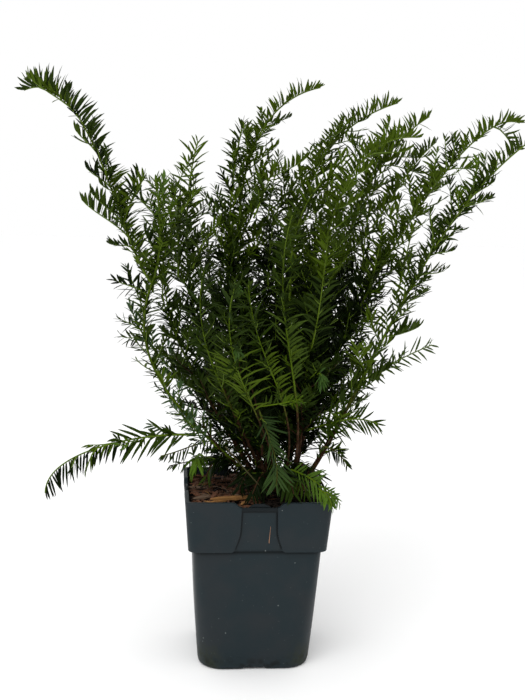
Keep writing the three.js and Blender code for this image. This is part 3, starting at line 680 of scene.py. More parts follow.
def tube_grid(line, distances, radii, sides, relief=None):
    """A round tube: at each distance a ring of radius r round the line, square to it. The rings
    start from the normal of the plane that the line bends in. relief(turn, distance) scales r."""
    centre, way = line.at(distances), line.way(distances)
    chord = line.points[-1] - line.points[0]
    bend = line.at(line.length / 2) - (line.points[0] + line.points[-1]) / 2
    normal = np.cross(chord, bend)
    if np.linalg.norm(normal) < 1e-3 * np.dot(chord, chord):
        normal = np.cross(chord, UP if abs(unit(chord)[2]) < 0.9 else np.array([1.0, 0, 0]))
    across = unit(normal - way * (way @ normal)[:, None])
    other = np.cross(way, across)
    turn = np.arange(sides) / sides * TAU
    r = np.asarray(radii)[:, None] * np.ones(sides)
    if relief is not None:
        r = r * relief(turn[None, :], np.asarray(distances)[:, None])
    ring = across[:, None] * np.cos(turn)[None, :, None] + other[:, None] * np.sin(turn)[None, :, None]
    return centre[:, None] + ring * r[..., None]


# ---- Finishes --------------------------------------------------------------------------------


class Signal:
    """A number in a shader. Arithmetic on it adds Math nodes to its finish."""

    def __init__(self, finish, socket):
        self.finish, self.socket = finish, socket

    def math(self, operation, *values):
        """What a Math node makes of these values."""
        return self.finish.add("ShaderNodeMath", {"operation": operation}, dict(enumerate(values)))

    def __add__(self, other):
        return self.math("ADD", self, other)

    def __radd__(self, other):
        return self.math("ADD", other, self)

    def __sub__(self, other):
        return self.math("SUBTRACT", self, other)

    def __rsub__(self, other):
        return self.math("SUBTRACT", other, self)

    def __mul__(self, other):
        return self.math("MULTIPLY", self, other)

    def __rmul__(self, other):
        return self.math("MULTIPLY", other, self)

    def between(self, low, high):
        """0 where the number is at low, 1 where it is at high, smooth between them."""
        ends = {"Value": self, "From Min": low, "From Max": high}
        return self.finish.add("ShaderNodeMapRange", {"interpolation_type": "SMOOTHSTEP"}, ends)


class Finish:
    """A material with one Principled shader, made node by node."""

    def __init__(self, name, **constants):
        self.material = bpy.data.materials.new(name)
        self.material.use_nodes = True
        self.tree = self.material.node_tree
        self.shader = self.tree.nodes["Principled BSDF"]
        for socket, value in constants.items():
            self.set(socket.replace("_", " "), value)

    def add(self, kind, settings=None, sockets=None, output=0):
        """Adds a node: its settings first, then the values or signals of its sockets."""
        node = self.tree.nodes.new(kind)
        for name, value in (settings or {}).items():
            setattr(node, name, value)
        for name, value in (sockets or {}).items():
            self.feed(node.inputs[name], value)
        return Signal(self, node.outputs[output])

    def feed(self, socket, value):
        """Links a signal to a socket, or sets a plain value on it."""
        if isinstance(value, Signal):
            self.tree.links.new(value.socket, socket)
        elif socket.type == "RGBA" and len(value) == 3:
            socket.default_value = (*value, 1)
        else:
            socket.default_value = value

    def set(self, socket, value):
        """Sets or links one of the shader's own sockets."""
        self.feed(self.shader.inputs[socket], value)

    def place(self):
        """The point on the piece, in metres."""
        return self.add("ShaderNodeTexCoord", output="Object")

    def stretched(self, scale):
        """The point on the piece with its axes scaled, for a pattern with a grain."""
        return self.add("ShaderNodeMapping", {}, {"Vector": self.place(), "Scale": scale})

    def noise(self, scale, detail=3.0, roughness=0.5, place=None):
        """Soft noise from 0 to 1, with scale waves to the metre."""
        sockets = {"Scale": scale, "Detail": detail, "Roughness": roughness}
        return self.add("ShaderNodeTexNoise", {}, {"Vector": place or self.place(), **sockets})

    def specks(self, scale, rare):
        """1 at the middle of a few cells of a Voronoi pattern with scale cells to the metre, and 0
        elsewhere. rare is the share of cells that stay empty."""
        cells = {"Vector": self.place(), "Scale": scale}
        distance = self.add("ShaderNodeTexVoronoi", {}, cells, output="Distance")
        tone = self.add("ShaderNodeTexVoronoi", {}, cells, output="Color")
        chance = self.add("ShaderNodeSeparateColor", {}, {0: tone}, output=0)
        return (1 - distance.between(0.04, 0.09)) * chance.between(rare, rare + 0.02)

    def blend(self, factor, first, second):
        """first where factor is 0, second where it is 1; both are colours."""
        sockets = {0: factor, 6: first, 7: second}
        return self.add("ShaderNodeMix", {"data_type": "RGBA"}, sockets, output=2)

    def bump(self, height, distance, strength):
        """Feeds a height into the shader's normal."""
        sockets = {"Height": height, "Distance": distance, "Strength": strength}
        self.set("Normal", self.add("ShaderNodeBump", {}, sockets))


# The marks on the pot: dust, algae and soil that stays on it; and painted shade under the collar and round
# the label places.
DUST = (0.26, 0.29, 0.28)
ALGAE = (0.030, 0.034, 0.012)
STUCK_SOIL = (0.004, 0.004, 0.003)
COLLAR_SHADE = (0.003, 0.004, 0.004)
LABEL_SHADE = (0.004, 0.006, 0.007)

# A label place widens by LABEL_TAPER over the collar's height. Over the lower FLARE_SHARE of it,
# from FLARE_FROM down, it widens by the pot's label flare as well.
LABEL_TAPER = 0.0014
FLARE_FROM = 0.45
FLARE_SHARE = 0.55


def algae_film(finish, x, y, z):
    """A film low down near the corners, where both x and y are large, broken up by noise."""
    corner = (x.math("ABSOLUTE", x) * y.math("ABSOLUTE", y)).between(0.00125, 0.0024)
    low = 1 - z.between(0.004, 0.034)
    return corner * low * finish.noise(140, 5, 0.65).between(0.35, 0.62)


def label_shade(pot, x, y, z):
    """The shade that gathers round a label place: along the edges of the panels, whose distance is
    how far a point lies beyond the flared label place, and under the bar."""
    collar = pot.height - pot.collar_height
    near = x.math("MINIMUM", x.math("ABSOLUTE", x), y.math("ABSOLUTE", y))
    half_at_foot = pot.label_half + LABEL_TAPER * pot.height / pot.collar_height
    beyond = near + z * (LABEL_TAPER / pot.collar_height) - half_at_foot
    flare = 1 - z.between(collar, collar + FLARE_SHARE * pot.collar_height)
    beyond = beyond - flare * flare * pot.label_flare
    edge = beyond.between(-0.0018, -0.0010) * (1 - beyond.between(0.0002, 0.0005))
    sides = edge * z.between(collar + 0.001, collar + 0.004)
    below_bar = z.between(pot.height - 0.0098, pot.height - 0.0090)
    under_bar = below_bar * (1 - beyond.between(0.0, 0.0004))
    return sides.math("MAXIMUM", sides, under_bar)


def pot_plastic(pot):
    """Slate grey moulded plastic: faint cloudy mottling, fine grain, dust specks, a film of algae
    low on the corners, soil at the foot, and painted shade under the collar and round the label places."""
    collar = pot.height - pot.collar_height
    finish = Finish("pot_plastic", IOR=1.47, Specular_IOR_Level=0.13)
    x, y, z = (
        finish.add("ShaderNodeSeparateXYZ", {}, {0: finish.place()}, output=axis) for axis in range(3))
    base = np.array(pot.plastic)
    cloud = finish.noise(34, 4, 0.55).between(0.35, 0.7)
    tone = finish.blend(cloud, tuple(base * (0.88, 0.96, 1.0)), tuple(base * (1.20, 1.04, 1.04)))
    dust = finish.specks(150.0, 0.88) * 0.8 + finish.specks(330.0, 0.72) * 0.4
    tone = finish.blend(dust, tone, DUST)
    algae = algae_film(finish, x, y, z)
    tone = finish.blend(algae * 0.7, tone, ALGAE)
    smudge = (1 - z.between(0.003, 0.016)) * finish.noise(95, 5, 0.7).between(0.46, 0.60)
    tone = finish.blend(smudge * 0.7, tone, STUCK_SOIL)
    # Painted shade: a dark band on the body just under the collar's foot, where the collar overhangs it.
    line_top = 1 - z.between(collar - 0.0002, collar + 0.0001)
    collar_shade = z.between(collar - 0.0045, collar - 0.0004) * line_top
    tone = finish.blend(collar_shade * 0.8, tone, COLLAR_SHADE)
    tone = finish.blend(label_shade(pot, x, y, z) * 0.8, tone, LABEL_SHADE)
    finish.set("Base Color", tone)
    finish.set("Roughness", 0.36 + 0.10 * finish.noise(60, 3) + algae * 0.3 + collar_shade * 0.4)
    grain = finish.noise(1900, 2) * 0.6 + finish.noise(420, 2) * 0.5
    finish.bump(grain, 0.00005, 0.5)
    return finish.material


def earth(base):
    """Moist dark compost with pale crumbs."""
    finish = Finish("compost", Specular_IOR_Level=0.1)
    crumbs = finish.noise(420, 5, 0.6)
    tone = finish.blend(crumbs.between(0.4, 0.75), base, tuple(np.array(base) * 3.0))
    finish.set("Base Color", tone)
    finish.set("Roughness", 0.8 + 0.2 * crumbs)
    finish.bump(crumbs, 0.0012, 0.9)
    return finish.material


def plain(name, tone, roughness=0.55, specular=0.3):
    """One plain colour, as dry bark shreds, twigs and the floor have it."""
    return Finish(name, Base_Color=tone, Roughness=roughness, Specular_IOR_Level=specular).material


# The pale wood that shows where old bark flakes, and the green of the youngest ends.
FLAKED_BARK = (0.062, 0.032, 0.017)
SHOOT_END = (0.080, 0.125, 0.007)


def stem_bark(old, young):
    """Bark from the foot of a stem, brown and flaking, to its young end, smooth and yellow-green.
    The attribute called youth runs from 0 at the foot to 1 at the young end."""
    finish = Finish("stem_bark", Specular_IOR_Level=0.1)
    youth = finish.add("ShaderNodeAttribute", {"attribute_name": "youth"}, output="Fac")
    grain = finish.noise(1.0, 5, 0.6, finish.stretched((900.0, 900.0, 160.0)))
    flakes = finish.noise(1.0, 3, 0.5, finish.stretched((320.0, 320.0, 90.0)))
    old, young = np.array(old), np.array(young)
    brown = finish.blend(grain.between(0.35, 0.7), tuple(old * 0.45), tuple(old * 1.5))
    brown = finish.blend(flakes.between(0.56, 0.7), brown, FLAKED_BARK)
    green = finish.blend(grain, tuple(young * 0.7), tuple(young * 1.15))
    green = finish.blend(youth.between(0.6, 1.0), green, SHOOT_END)
    change = (youth + 0.25 * (flakes - 0.5)).between(0.30, 0.50)
    finish.set("Base Color", finish.blend(change, brown, green))
    finish.set("Roughness", 0.85 - 0.4 * change)
    finish.bump(grain * (1 - change * 0.8), 0.0005, 0.8)
    return finish.material


def needle_finish(name, tone, roughness):
    """A needle's waxy skin in one plain spray colour."""
    return plain(name, tone, roughness, 0.03)


# ---- The pot ---------------------------------------------------------------------------------

STRAIGHT_STEPS = 14
CORNER_STEPS = 8


def quarter_walk():
    """One quarter of a rounded square, from the middle of the front to the middle of the right
    side. A point is at x = fx (h-c) + sx c and y = -(fy (h-c) + sy c), for half side h and corner
    radius c; the four factors run along the straight, round the corner and along the straight."""
    a = np.arange(STRAIGHT_STEPS) / STRAIGHT_STEPS
    b = np.arange(CORNER_STEPS) / CORNER_STEPS * math.pi / 2
    one, none = np.ones_like(a), np.zeros_like(a)
    fx = np.concatenate([a, np.ones_like(b), one])
    sx = np.concatenate([none, np.sin(b), one])
    fy = np.concatenate([one, np.ones_like(b), 1 - a])
    sy = np.concatenate([one, np.cos(b), none])
    return fx, sx, fy, sy


def square_rings(half, corner, z):
    """Rings of a rounded square, one for each row of half side, corner radius and height, counter-
    clockwise seen from above. Also gives each point's distance from the middle of its side."""
    half, corner, z = (np.asarray(v, float)[:, None] for v in (half, corner, z))
    fx, sx, fy, sy = quarter_walk()
    x = fx * (half - corner) + sx * corner
    y = -(fy * (half - corner) + sy * corner)
    sides = [np.stack([x, y], -1)]
    for _ in range(3):
        last = sides[-1]
        sides.append(np.stack([-last[..., 1], last[..., 0]], -1))
    from_middle = np.tile(np.minimum(np.abs(x), np.abs(y)), (1, 4))
    flat = np.concatenate(sides, 1)
    heights = np.broadcast_to(z[..., None], (*flat.shape[:2], 1))
    return np.concatenate([flat, heights], -1), from_middle


# The body's small forms: the recess under it, the rounded lower edge, the step under the collar,
# the height where the tabs begin, the arch in each side's foot and how far the walls belly.
RECESS = 0.0022
FOOT_ROUNDING = 0.0034
STEP_HEIGHT = 0.0024
STEP_DEPTH = 0.0016
TAB_START = 0.150
ARCH_HEIGHT = 0.0042
ARCH_HALF = 0.0085
BELLY = 0.0009


def pot_rows(pot):
    """The body's rings as half side, corner radius and height: up the outside from the middle of
    the underside, over the top edge and down the inside. Also gives the numbers of the first ring
    of the outer wall and of the first ring above it."""
    waist, step_top = pot.height - pot.collar_height, pot.height - pot.collar_height + STEP_HEIGHT
    foot, middle, neck = pot.foot_side / 2, pot.waist_side / 2, pot.neck_side / 2
    # The recessed middle of the underside and the flat ring that the pot stands on.
    rows = [(0.004, 0.0035, RECESS), (foot - 0.016, pot.foot_corner - 0.012, RECESS),
            (foot - 0.0125, pot.foot_corner - 0.0095, 0.0004),
            (foot - 0.011, pot.foot_corner - 0.008, 0.0)]
    for angle in np.linspace(0, math.pi / 2, 6):
        inwards = FOOT_ROUNDING * (1 - math.sin(angle))
        upwards = FOOT_ROUNDING * (1 - math.cos(angle))
        rows.append((foot - inwards, pot.foot_corner - inwards, upwards))
    wall_start = len(rows)
    for t in np.linspace(0.05, 1, 22):
        corner = pot.foot_corner + (pot.waist_corner - pot.foot_corner) * t
        rows.append((foot + (middle - foot) * t, corner, waist * t))
    wall_end = len(rows)
    rows.append((middle, pot.waist_corner, step_top - 0.0008))
    rows.append((middle + STEP_DEPTH, pot.waist_corner, step_top - 0.0007))
    rows.append((middle + STEP_DEPTH, pot.waist_corner, step_top))
    for t in np.linspace(0.12, 1, 14):
        half = middle + STEP_DEPTH + (neck - middle - STEP_DEPTH) * t
        corner = pot.waist_corner + (pot.neck_corner - pot.waist_corner) * t
        rows.append((half, corner, step_top + (pot.height - 0.0002 - step_top) * t))
    # The rounded top edge.
    rows.append((neck - 0.0004, pot.neck_corner - 0.0004, pot.height))
    rows.append((neck - pot.wall + 0.0004, pot.neck_corner - pot.wall + 0.0004, pot.height))
    # The inside and the floor.
    for t in np.linspace(1, 0, 12):
        half = middle + (neck - middle) * t - pot.wall
        rows.append((half, pot.waist_corner - pot.wall, waist + (pot.height - 0.0002 - waist) * t))
    rows.append((foot + 0.001 - pot.wall, pot.foot_corner - pot.wall, pot.floor))
    rows.append((0.004, 0.0035, pot.floor))
    return np.array(rows), wall_start, wall_end


def pot_body(pot):
    """The body as one closed surface of rings. The walls belly by a fraction of a millimetre: BELLY
    times a half sine up the wall times a half cosine across it. The wall rises to a rounded tab
    behind each label place, and each side's foot has a low arch, ARCH_HEIGHT exp(-(d / ARCH_HALF)^4)
    high at a distance d from its middle."""
    waist, middle = pot.height - pot.collar_height, pot.waist_side / 2
    rows, wall_start, wall_end = pot_rows(pot)
    half, corner, z = rows.T
    order = np.arange(len(rows))
    points, from_middle = square_rings(half, corner, z)
    height = points[..., 2]
    shoulder = 0.0021 * smooth(from_middle, 0.006, 0.0085)
    slope = 0.0042 * smooth(from_middle, 0.0075, 0.0145)
    tab = pot.height - shoulder - slope
    hidden = smooth(from_middle, 0.0175, 0.0205) * 0.0052
    top_share = np.clip((height - TAB_START) / (pot.height - TAB_START), 0, 1)
    height -= top_share * (pot.height - tab - hidden + 0.0011)
    arch = ARCH_HEIGHT * np.exp(-(from_middle / ARCH_HALF) ** 4) * (1 - smooth(height, 0.002, 0.014))
    near_edge = (half > pot.foot_side / 2 - 0.0126) & (order < wall_start + 4)
    height += arch * near_edge[:, None]
    outside = (order >= wall_start) & (order <= wall_end)
    up_wall = np.sin(np.clip(height / waist, 0, 1) * math.pi)
    across_wall = np.cos(np.clip(from_middle / middle, 0, 1) * math.pi / 2)
    belly = up_wall * across_wall * outside[:, None] * BELLY
    outward = np.sign(points[..., :2]) * (np.abs(points[..., :2]) > from_middle[..., None] + 1e-6)
    points[..., :2] += outward * belly[..., None]
    return points


PANEL_STEPS = 26
PANEL_ROUNDING = 0.0011


def collar_profile(pot, inset):
    """A panel's profile as half side and height: out over the rim, round its edge and down."""
    rim, foot = pot.rim_side / 2 - inset, pot.collar_side / 2 - inset
    waist, top = pot.height - pot.collar_height, pot.height - inset
    neck = pot.neck_side / 2 - pot.wall
    turn = np.linspace(0, math.pi / 2, 5)[1:]
    fall = np.linspace(0, 1, 24)[1:]
    plate = [(neck + (rim - PANEL_ROUNDING - neck) * t, top) for t in np.linspace(0, 1, 5)]
    edge = [(rim - PANEL_ROUNDING * (1 - math.sin(a)), top - PANEL_ROUNDING * (1 - math.cos(a)))
            for a in turn]
    wall = [(rim + (foot - rim) * t, top - PANEL_ROUNDING + (waist - top + PANEL_ROUNDING) * t)
            for t in fall]
    return np.array(plate + edge + wall).T


def collar_panel(pot, inset):
    """One corner panel of the collar: a profile that runs out over the rim and down the collar,
    carried from the label place on one side round the corner to the label place on the next.
    Its edges flare at the foot, its lower corners are round and its rim slopes down at both ends.
    inset moves the whole profile inwards by the wall's thickness."""
    half, z = collar_profile(pot, inset)
    waist, top = pot.height - pot.collar_height, pot.height - inset
    drop = np.clip((pot.height - z) / pot.collar_height, 0, 1)
    corner = pot.rim_corner + (pot.collar_corner - pot.rim_corner) * drop - inset
    corner = np.maximum(corner - (half.max() - half) * (drop < 0.05) * 0.6, 0.002)
    flare = pot.label_flare * np.clip((drop - FLARE_FROM) / FLARE_SHARE, 0, 1) ** 2
    start = pot.label_half + LABEL_TAPER * drop + flare
    half, z, corner, start = (v[:, None] for v in (half, z, corner, start))
    a = (np.arange(PANEL_STEPS) / PANEL_STEPS) ** 1.3
    b = np.linspace(0, math.pi / 2, 13)
    middle = half - corner
    straight = start + (middle - start) * a
    face = np.broadcast_to(half, (len(half), PANEL_STEPS))
    x = np.concatenate([straight, middle + corner * np.sin(b), face], 1)
    y = -np.concatenate([face, middle + corner * np.cos(b), straight[:, ::-1]], 1)
    gap = np.minimum(np.abs(x), np.abs(y)) - start
    radius = 0.0034
    near = np.clip(1 - gap / radius, 0, 1)
    lift = radius * (1 - np.sqrt(1 - near ** 2))
    slope = pot.shoulder_drop * (1 - smooth(gap, 0.0002, 0.0075))
    share_up = np.clip((z - waist) / (top - waist), 0, 1)
    z = z + (1 - share_up) ** 3 * lift - share_up ** 2 * slope
    return np.stack([x, y, np.broadcast_to(z, x.shape)], -1)


def label_bar(pot):
    """The thin bar that bridges two panels above the label place, as a closed box with a round face:
    rows run along the bar, columns round its section."""
    along = np.linspace(-1, 1, 17) * (pot.label_half + 0.0022)
    top, depth, height = pot.height - pot.shoulder_drop, 0.0020, 0.0031
    front = -(pot.rim_side / 2 - 0.0006)
    face = [(0.0003, 0.0), (0, -0.0004), (0, -height + 0.0004), (0.0003, -height)]
    section = [*face, (depth, -height), (depth, 0.0)]
    return np.array([[(x, front + into, top + up) for into, up in section] for x in along])


def turned(points, quarter):
    """Points turned about the upright axis by that many right angles."""
    c, s = ((1, 0), (0, 1), (-1, 0), (0, -1))[quarter]
    x, y = points[..., 0] * c - points[..., 1] * s, points[..., 0] * s + points[..., 1] * c
    return np.stack([x, y, points[..., 2]], -1)


def build_pot(pot):
    """The pot: body, four corner panels and four bars, with every sharp edge slightly rounded."""
    clay = Clay()
    clay.rings(pot_body(pot))
    outer, inner = collar_panel(pot, 0.0), collar_panel(pot, pot.wall)
    bar = label_bar(pot)
    for quarter in range(4):
        clay.shell(turned(outer, quarter), turned(inner, quarter))
        clay.rings(turned(bar, quarter))
    piece = clay.piece("nursery_pot", [pot_plastic(pot)])
    bevel = piece.modifiers.new("moulded_edges", "BEVEL")
    bevel.width = 0.00035
    bevel.segments = 2
    bevel.limit_method = "ANGLE"
    bevel.angle_limit = math.radians(38)
    bevel.harden_normals = True
    return piece


# ---- Soil ------------------------------------------------------------------------------------


def soil_height(x, y, level):
    """The lie of the soil: a low heap towards the stems, hollows and crumbs, made of slow waves."""
    heap = 0.0030 * np.exp(-((x - 0.02) ** 2 + y ** 2) / 0.0012)
    waves = 0.0011 * np.sin(95 * x + 1.3) * np.sin(120 * y + 0.4) + 0.0007 * np.sin(240 * x + 90 * y)
    crumbs = 0.0004 * np.sin(900 * x + 1.1) * np.sin(870 * y + 2.3)
    return level + heap + waves + crumbs


def build_soil(pot, soil):
    """The soil: rings of the pot's own section from the middle out, then down the wall."""
    inside = pot.neck_side / 2 - pot.wall - 0.0009
    scales = np.concatenate([[0.03], np.linspace(0.06, 1, 46)])
    rows = [(inside * s, max(pot.neck_corner * s, 0.0002), soil.level) for s in scales]
    points, _ = square_rings(*np.array(rows).T)
    points[..., 2] = soil_height(points[..., 0], points[..., 1], soil.level)
    rim = points[-1:]
    halves_below = [pot.waist_side / 2 - pot.wall - 0.001, pot.foot_side / 2 - pot.wall]
    lower, _ = square_rings(halves_below, [0.009, 0.02], [0.112, 0.006])
    clay = Clay()
    clay.rings(np.concatenate([points, rim - [0, 0, 0.004], lower]))
    return clay.piece("compost", [earth(soil.earth)])


CHIP_TONES = {
    "bark_red": (0.110, 0.045, 0.022),
    "bark_brown": (0.074, 0.033, 0.017),
    "bark_dark": (0.010, 0.0052, 0.0030),
    "bark_tan": (0.115, 0.074, 0.047),
    "bark_orange": (0.220, 0.108, 0.034),
    "bark_olive": (0.046, 0.042, 0.014),
    "bark_fibre": (0.340, 0.170, 0.095),
}
CHIP_SHARES = [0.36, 0.30, 0.20, 0.12, 0.02, 0.0, 0.0]
MULCH_SEED = 21
CHIP_STATIONS = 6
LARGE_CHIP_STATIONS = 12

# Large chips: middle in millimetres, bearing in degrees, length, width, thickness, tone.
LARGE_CHIPS = [
    ((-22, -38, 157.2), 14, 43, 4.6, 2.4, "bark_orange"),
    ((-33, -42, 155.6), 22, 30, 2.6, 1.6, "bark_orange"),
    ((-44, -45, 155.0), -55, 13, 2.2, 1.3, "bark_orange"),
    ((-13.5, -47, 155.0), 65, 11, 3.0, 1.3, "bark_orange"),
    ((-49, -30, 155.5), 35, 22, 5.0, 1.6, "bark_tan"),
    ((-38, -22, 155.5), 75, 26, 5.0, 1.8, "bark_red"),
    ((-52, 4, 155.0), -20, 20, 4.5, 1.5, "bark_tan"),
    ((45.7, -10, 155.0), 88, 27, 2.2, 1.8, "bark_tan"),
    ((-20, 30, 155.5), 140, 24, 5.0, 1.6, "bark_red"),
    ((30, 44, 155.0), 10, 28, 6.0, 2.0, "bark_brown"),
    ((52, 30, 155.0), 80, 20, 4.0, 1.5, "bark_red"),
    ((-45, 46, 155.0), -35, 26, 5.0, 1.8, "bark_red"),
]


def chip_points(middle, bearing, tilt, length, width, thick, bend, rng, stations=CHIP_STATIONS):
    """Splinters of bark: along each, a four-sided section that narrows to ragged ends. Arrays of
    n chips give points of n x stations x 4 x 3."""
    count = len(length)
    t = np.linspace(-1, 1, stations)
    narrow = (1 - 0.75 * np.abs(t) ** 3)[None, :] * rng.uniform(0.72, 1.15, (count, stations))
    ahead = np.stack([np.cos(bearing) * np.cos(tilt), np.sin(bearing) * np.cos(tilt), np.sin(tilt)], -1)
    across = np.stack([-np.sin(bearing), np.cos(bearing), rng.uniform(-0.35, 0.35, count)], -1)
    above = unit(np.cross(ahead, across))
    line = middle[:, None] + ahead[:, None] * (t[None, :, None] * length[:, None, None] / 2)
    line = line + across[:, None] * (bend[:, None] * (t ** 2 - 0.4)[None] * length[:, None])[..., None]
    corners = np.array([(-1, -1), (1, -1), (0.8, 1), (-0.8, 1)]) / 2
    wide = corners[None, None, :, 0] * (width[:, None] * narrow)[..., None]
    high = corners[None, None, :, 1] * (thick[:, None] * narrow)[..., None]
    points = line[:, :, None] + across[:, None, None] * wide[..., None]
    return points + above[:, None, None] * high[..., None]


def add_chips(clay, points, slots):
    """Adds splinters to the clay, each with its own slot."""
    count, stations, corners = points.shape[:3]
    quads = grid_quads(stations, corners, True)
    last = (stations - 1) * corners
    quads = np.concatenate([quads, [[3, 2, 1, 0], [last, last + 1, last + 2, last + 3]]])
    shift = np.arange(count)[:, None, None] * stations * corners
    clay.add(points, (quads[None] + shift).reshape(-1, 4), slot=np.repeat(slots, len(quads)))


# A root fibre that clings to the label place and a dry twig on the mulch: the four points of a
# curve in millimetres, the radius and the tone.
STRANDS = [
    ([(10.1, -61.3, 137.8), (9.9, -60.6, 130.5), (9.3, -60.3, 126.5), (9.3, -59.9, 122.2)],
     0.00042, "bark_fibre"),
    ([(-31, -59, 209), (-19, -54, 194), (-7, -50, 180), (4, -45, 167)], 0.0006, "bark_olive"),
]
STRAND_RINGS = 20
STRAND_SIDES = 6


def strewn_chips(pot, soil, rng):
    """The small shreds, strewn evenly over the soil with random bearings, tilts and sizes. Under the
    crown, from about the middle to the right, most take the dark tone as painted shade of the crown."""
    names = list(CHIP_TONES)
    inside = pot.neck_side / 2 - pot.wall - 0.0045
    count = soil.chips
    x, y = rng.uniform(-inside, inside, (2, count))
    length = np.clip(soil.chip_length * rng.lognormal(0, 0.38, count), 0.004, 0.026)
    width = np.clip(length * rng.uniform(0.09, 0.26, count), 0.0006, 0.0034)
    thick = width * rng.uniform(0.25, 0.6, count)
    tilt = rng.normal(0, 0.16, count)
    bearing = rng.uniform(0, TAU, count)
    reach = np.maximum(length / 2 - 0.004, 0)
    x, y = (np.clip(v, -inside + reach, inside - reach) for v in (x, y))
    z = soil_height(x, y, soil.level) + rng.uniform(0.0004, 0.0036, count)
    middle = np.stack([x, y, z], -1)
    bend = rng.normal(0, 0.05, count)
    points = chip_points(middle, bearing, tilt, length, width, thick, bend, rng)
    slots = rng.choice(len(names), count, p=CHIP_SHARES)
    # Painted shade of the crown: most chips under it take the dark tone.
    in_crown_shade = rng.random(count) < 0.92 * smooth(x + rng.normal(0, 0.004, count), -0.010, 0.008)
    return points, np.where(in_crown_shade, names.index("bark_dark"), slots)


def build_mulch(pot, soil):
    """Shredded bark strewn over the soil, with larger chips in places of their own, a fibre on the
    label place and a dry twig."""
    rng = np.random.default_rng(MULCH_SEED)
    names = list(CHIP_TONES)
    clay = Clay()
    add_chips(clay, *strewn_chips(pot, soil, rng))
    places, bearings, lengths, widths, depths, tones = zip(*LARGE_CHIPS)
    places, lengths, widths, depths = (np.array(v) * MM for v in (places, lengths, widths, depths))
    tilt, bend = (rng.normal(mean, spread, len(places)) for mean, spread in ((0.02, 0.03), (0, 0.02)))
    large = chip_points(
        places, np.radians(bearings), tilt, lengths, widths, depths, bend, rng, LARGE_CHIP_STATIONS)
    add_chips(clay, large, np.array([names.index(tone) for tone in tones]))
    for path, radius, tone in STRANDS:
        line = Line(bezier(np.array(path) * MM, STRAND_RINGS))
        distances = np.linspace(0, line.length, STRAND_RINGS)
        tube = tube_grid(line, distances, np.full(STRAND_RINGS, radius), STRAND_SIDES)
        clay.rings(tube, slot=names.index(tone))
    dry = [plain(name, tone, 0.85, 0.2) for name, tone in CHIP_TONES.items()]
    return clay.piece("bark_mulch", dry, smooth=False)


# ---- Growth ----------------------------------------------------------------------------------

# Almost straight up, and never quite along a shoot.
NEARLY_UP = UP + 0.01

# The habits whose side shoots draw one of these instead.
MIXED_HABITS = ("round", "comb", "arch", "flat", "loose", "sparse")
SIDE_HABITS = {"flat": 0.5, "round": 0.3, "comb": 0.2}

# A side shoot's angle to its leader in degrees, its length against the rule's, the length from
# which it bears smaller shoots, and how far side shoots crowd together away from the tip.
SIDE_LEAN = (40, 62)
SIDE_SPREAD = (0.6, 1.2)
LONG_SIDE = 0.028
CROWDING_DISTANCE = 0.07

# Small shoots: their spacing and the range of their lengths.
SMALL_STEP = 0.010
SMALL_LENGTHS = (0.008, 0.017)

LEADER_POINTS = 90


class Shoot:
    """A shoot: its line, its radii at foot and tip, and the runs of needles along it. A run is the
    share where it starts, the share where it ends, a habit, a needle length and a tint."""

    def __init__(self, line, radii, runs):
        self.line, self.radii, self.runs = line, radii, runs

    def radius(self, share):
        """The radius at a share t of the length: tip + (foot - tip) (1 - t)^2."""
        return self.radii[1] + (self.radii[0] - self.radii[1]) * (1 - share) ** 2


def pick(rng, shares):
    """One of the names in shares, drawn by its share."""
    names = list(shares)
    return names[rng.choice(len(names), p=[shares[name] for name in names])]


def side_line(foot, start_way, tip, tip_way, count=12):
    """A side shoot's line: a cubic curve that leaves the foot in one direction and reaches the tip
    in another, with a third of the way between them as both handles."""
    reach = np.linalg.norm(tip - foot) / 3
    return Line(bezier([foot, foot + start_way * reach, tip - tip_way * reach, tip], count))


def placed_shoots(lines, plant, rng):
    """The side shoots that have a place of their own."""
    shoots = []
    for name, along, tip, tint in PLACED_SHOOTS:
        line, row = lines[name], LEADERS[name]
        distance = along * line.length
        foot, way = line.at(distance), line.way(distance)
        tip = np.array(tip) * MM
        ahead = unit(tip - foot)
        start_way = unit(way * 0.9 + ahead)
        sits, needle = row["habits"][1], row["lengths"][1] * 0.92
        tip_way = unit(ahead + 0.25 * UP * (sits != "hanging"))
        radii = (plant.twig_radius * 1.15, plant.twig_radius * 0.6)
        run = (0.0, 1.0, sits, needle, pick(rng, SPRAYS[tint]))
        shoots.append(Shoot(side_line(foot, start_way, tip, tip_way), radii, [run]))
    return shoots


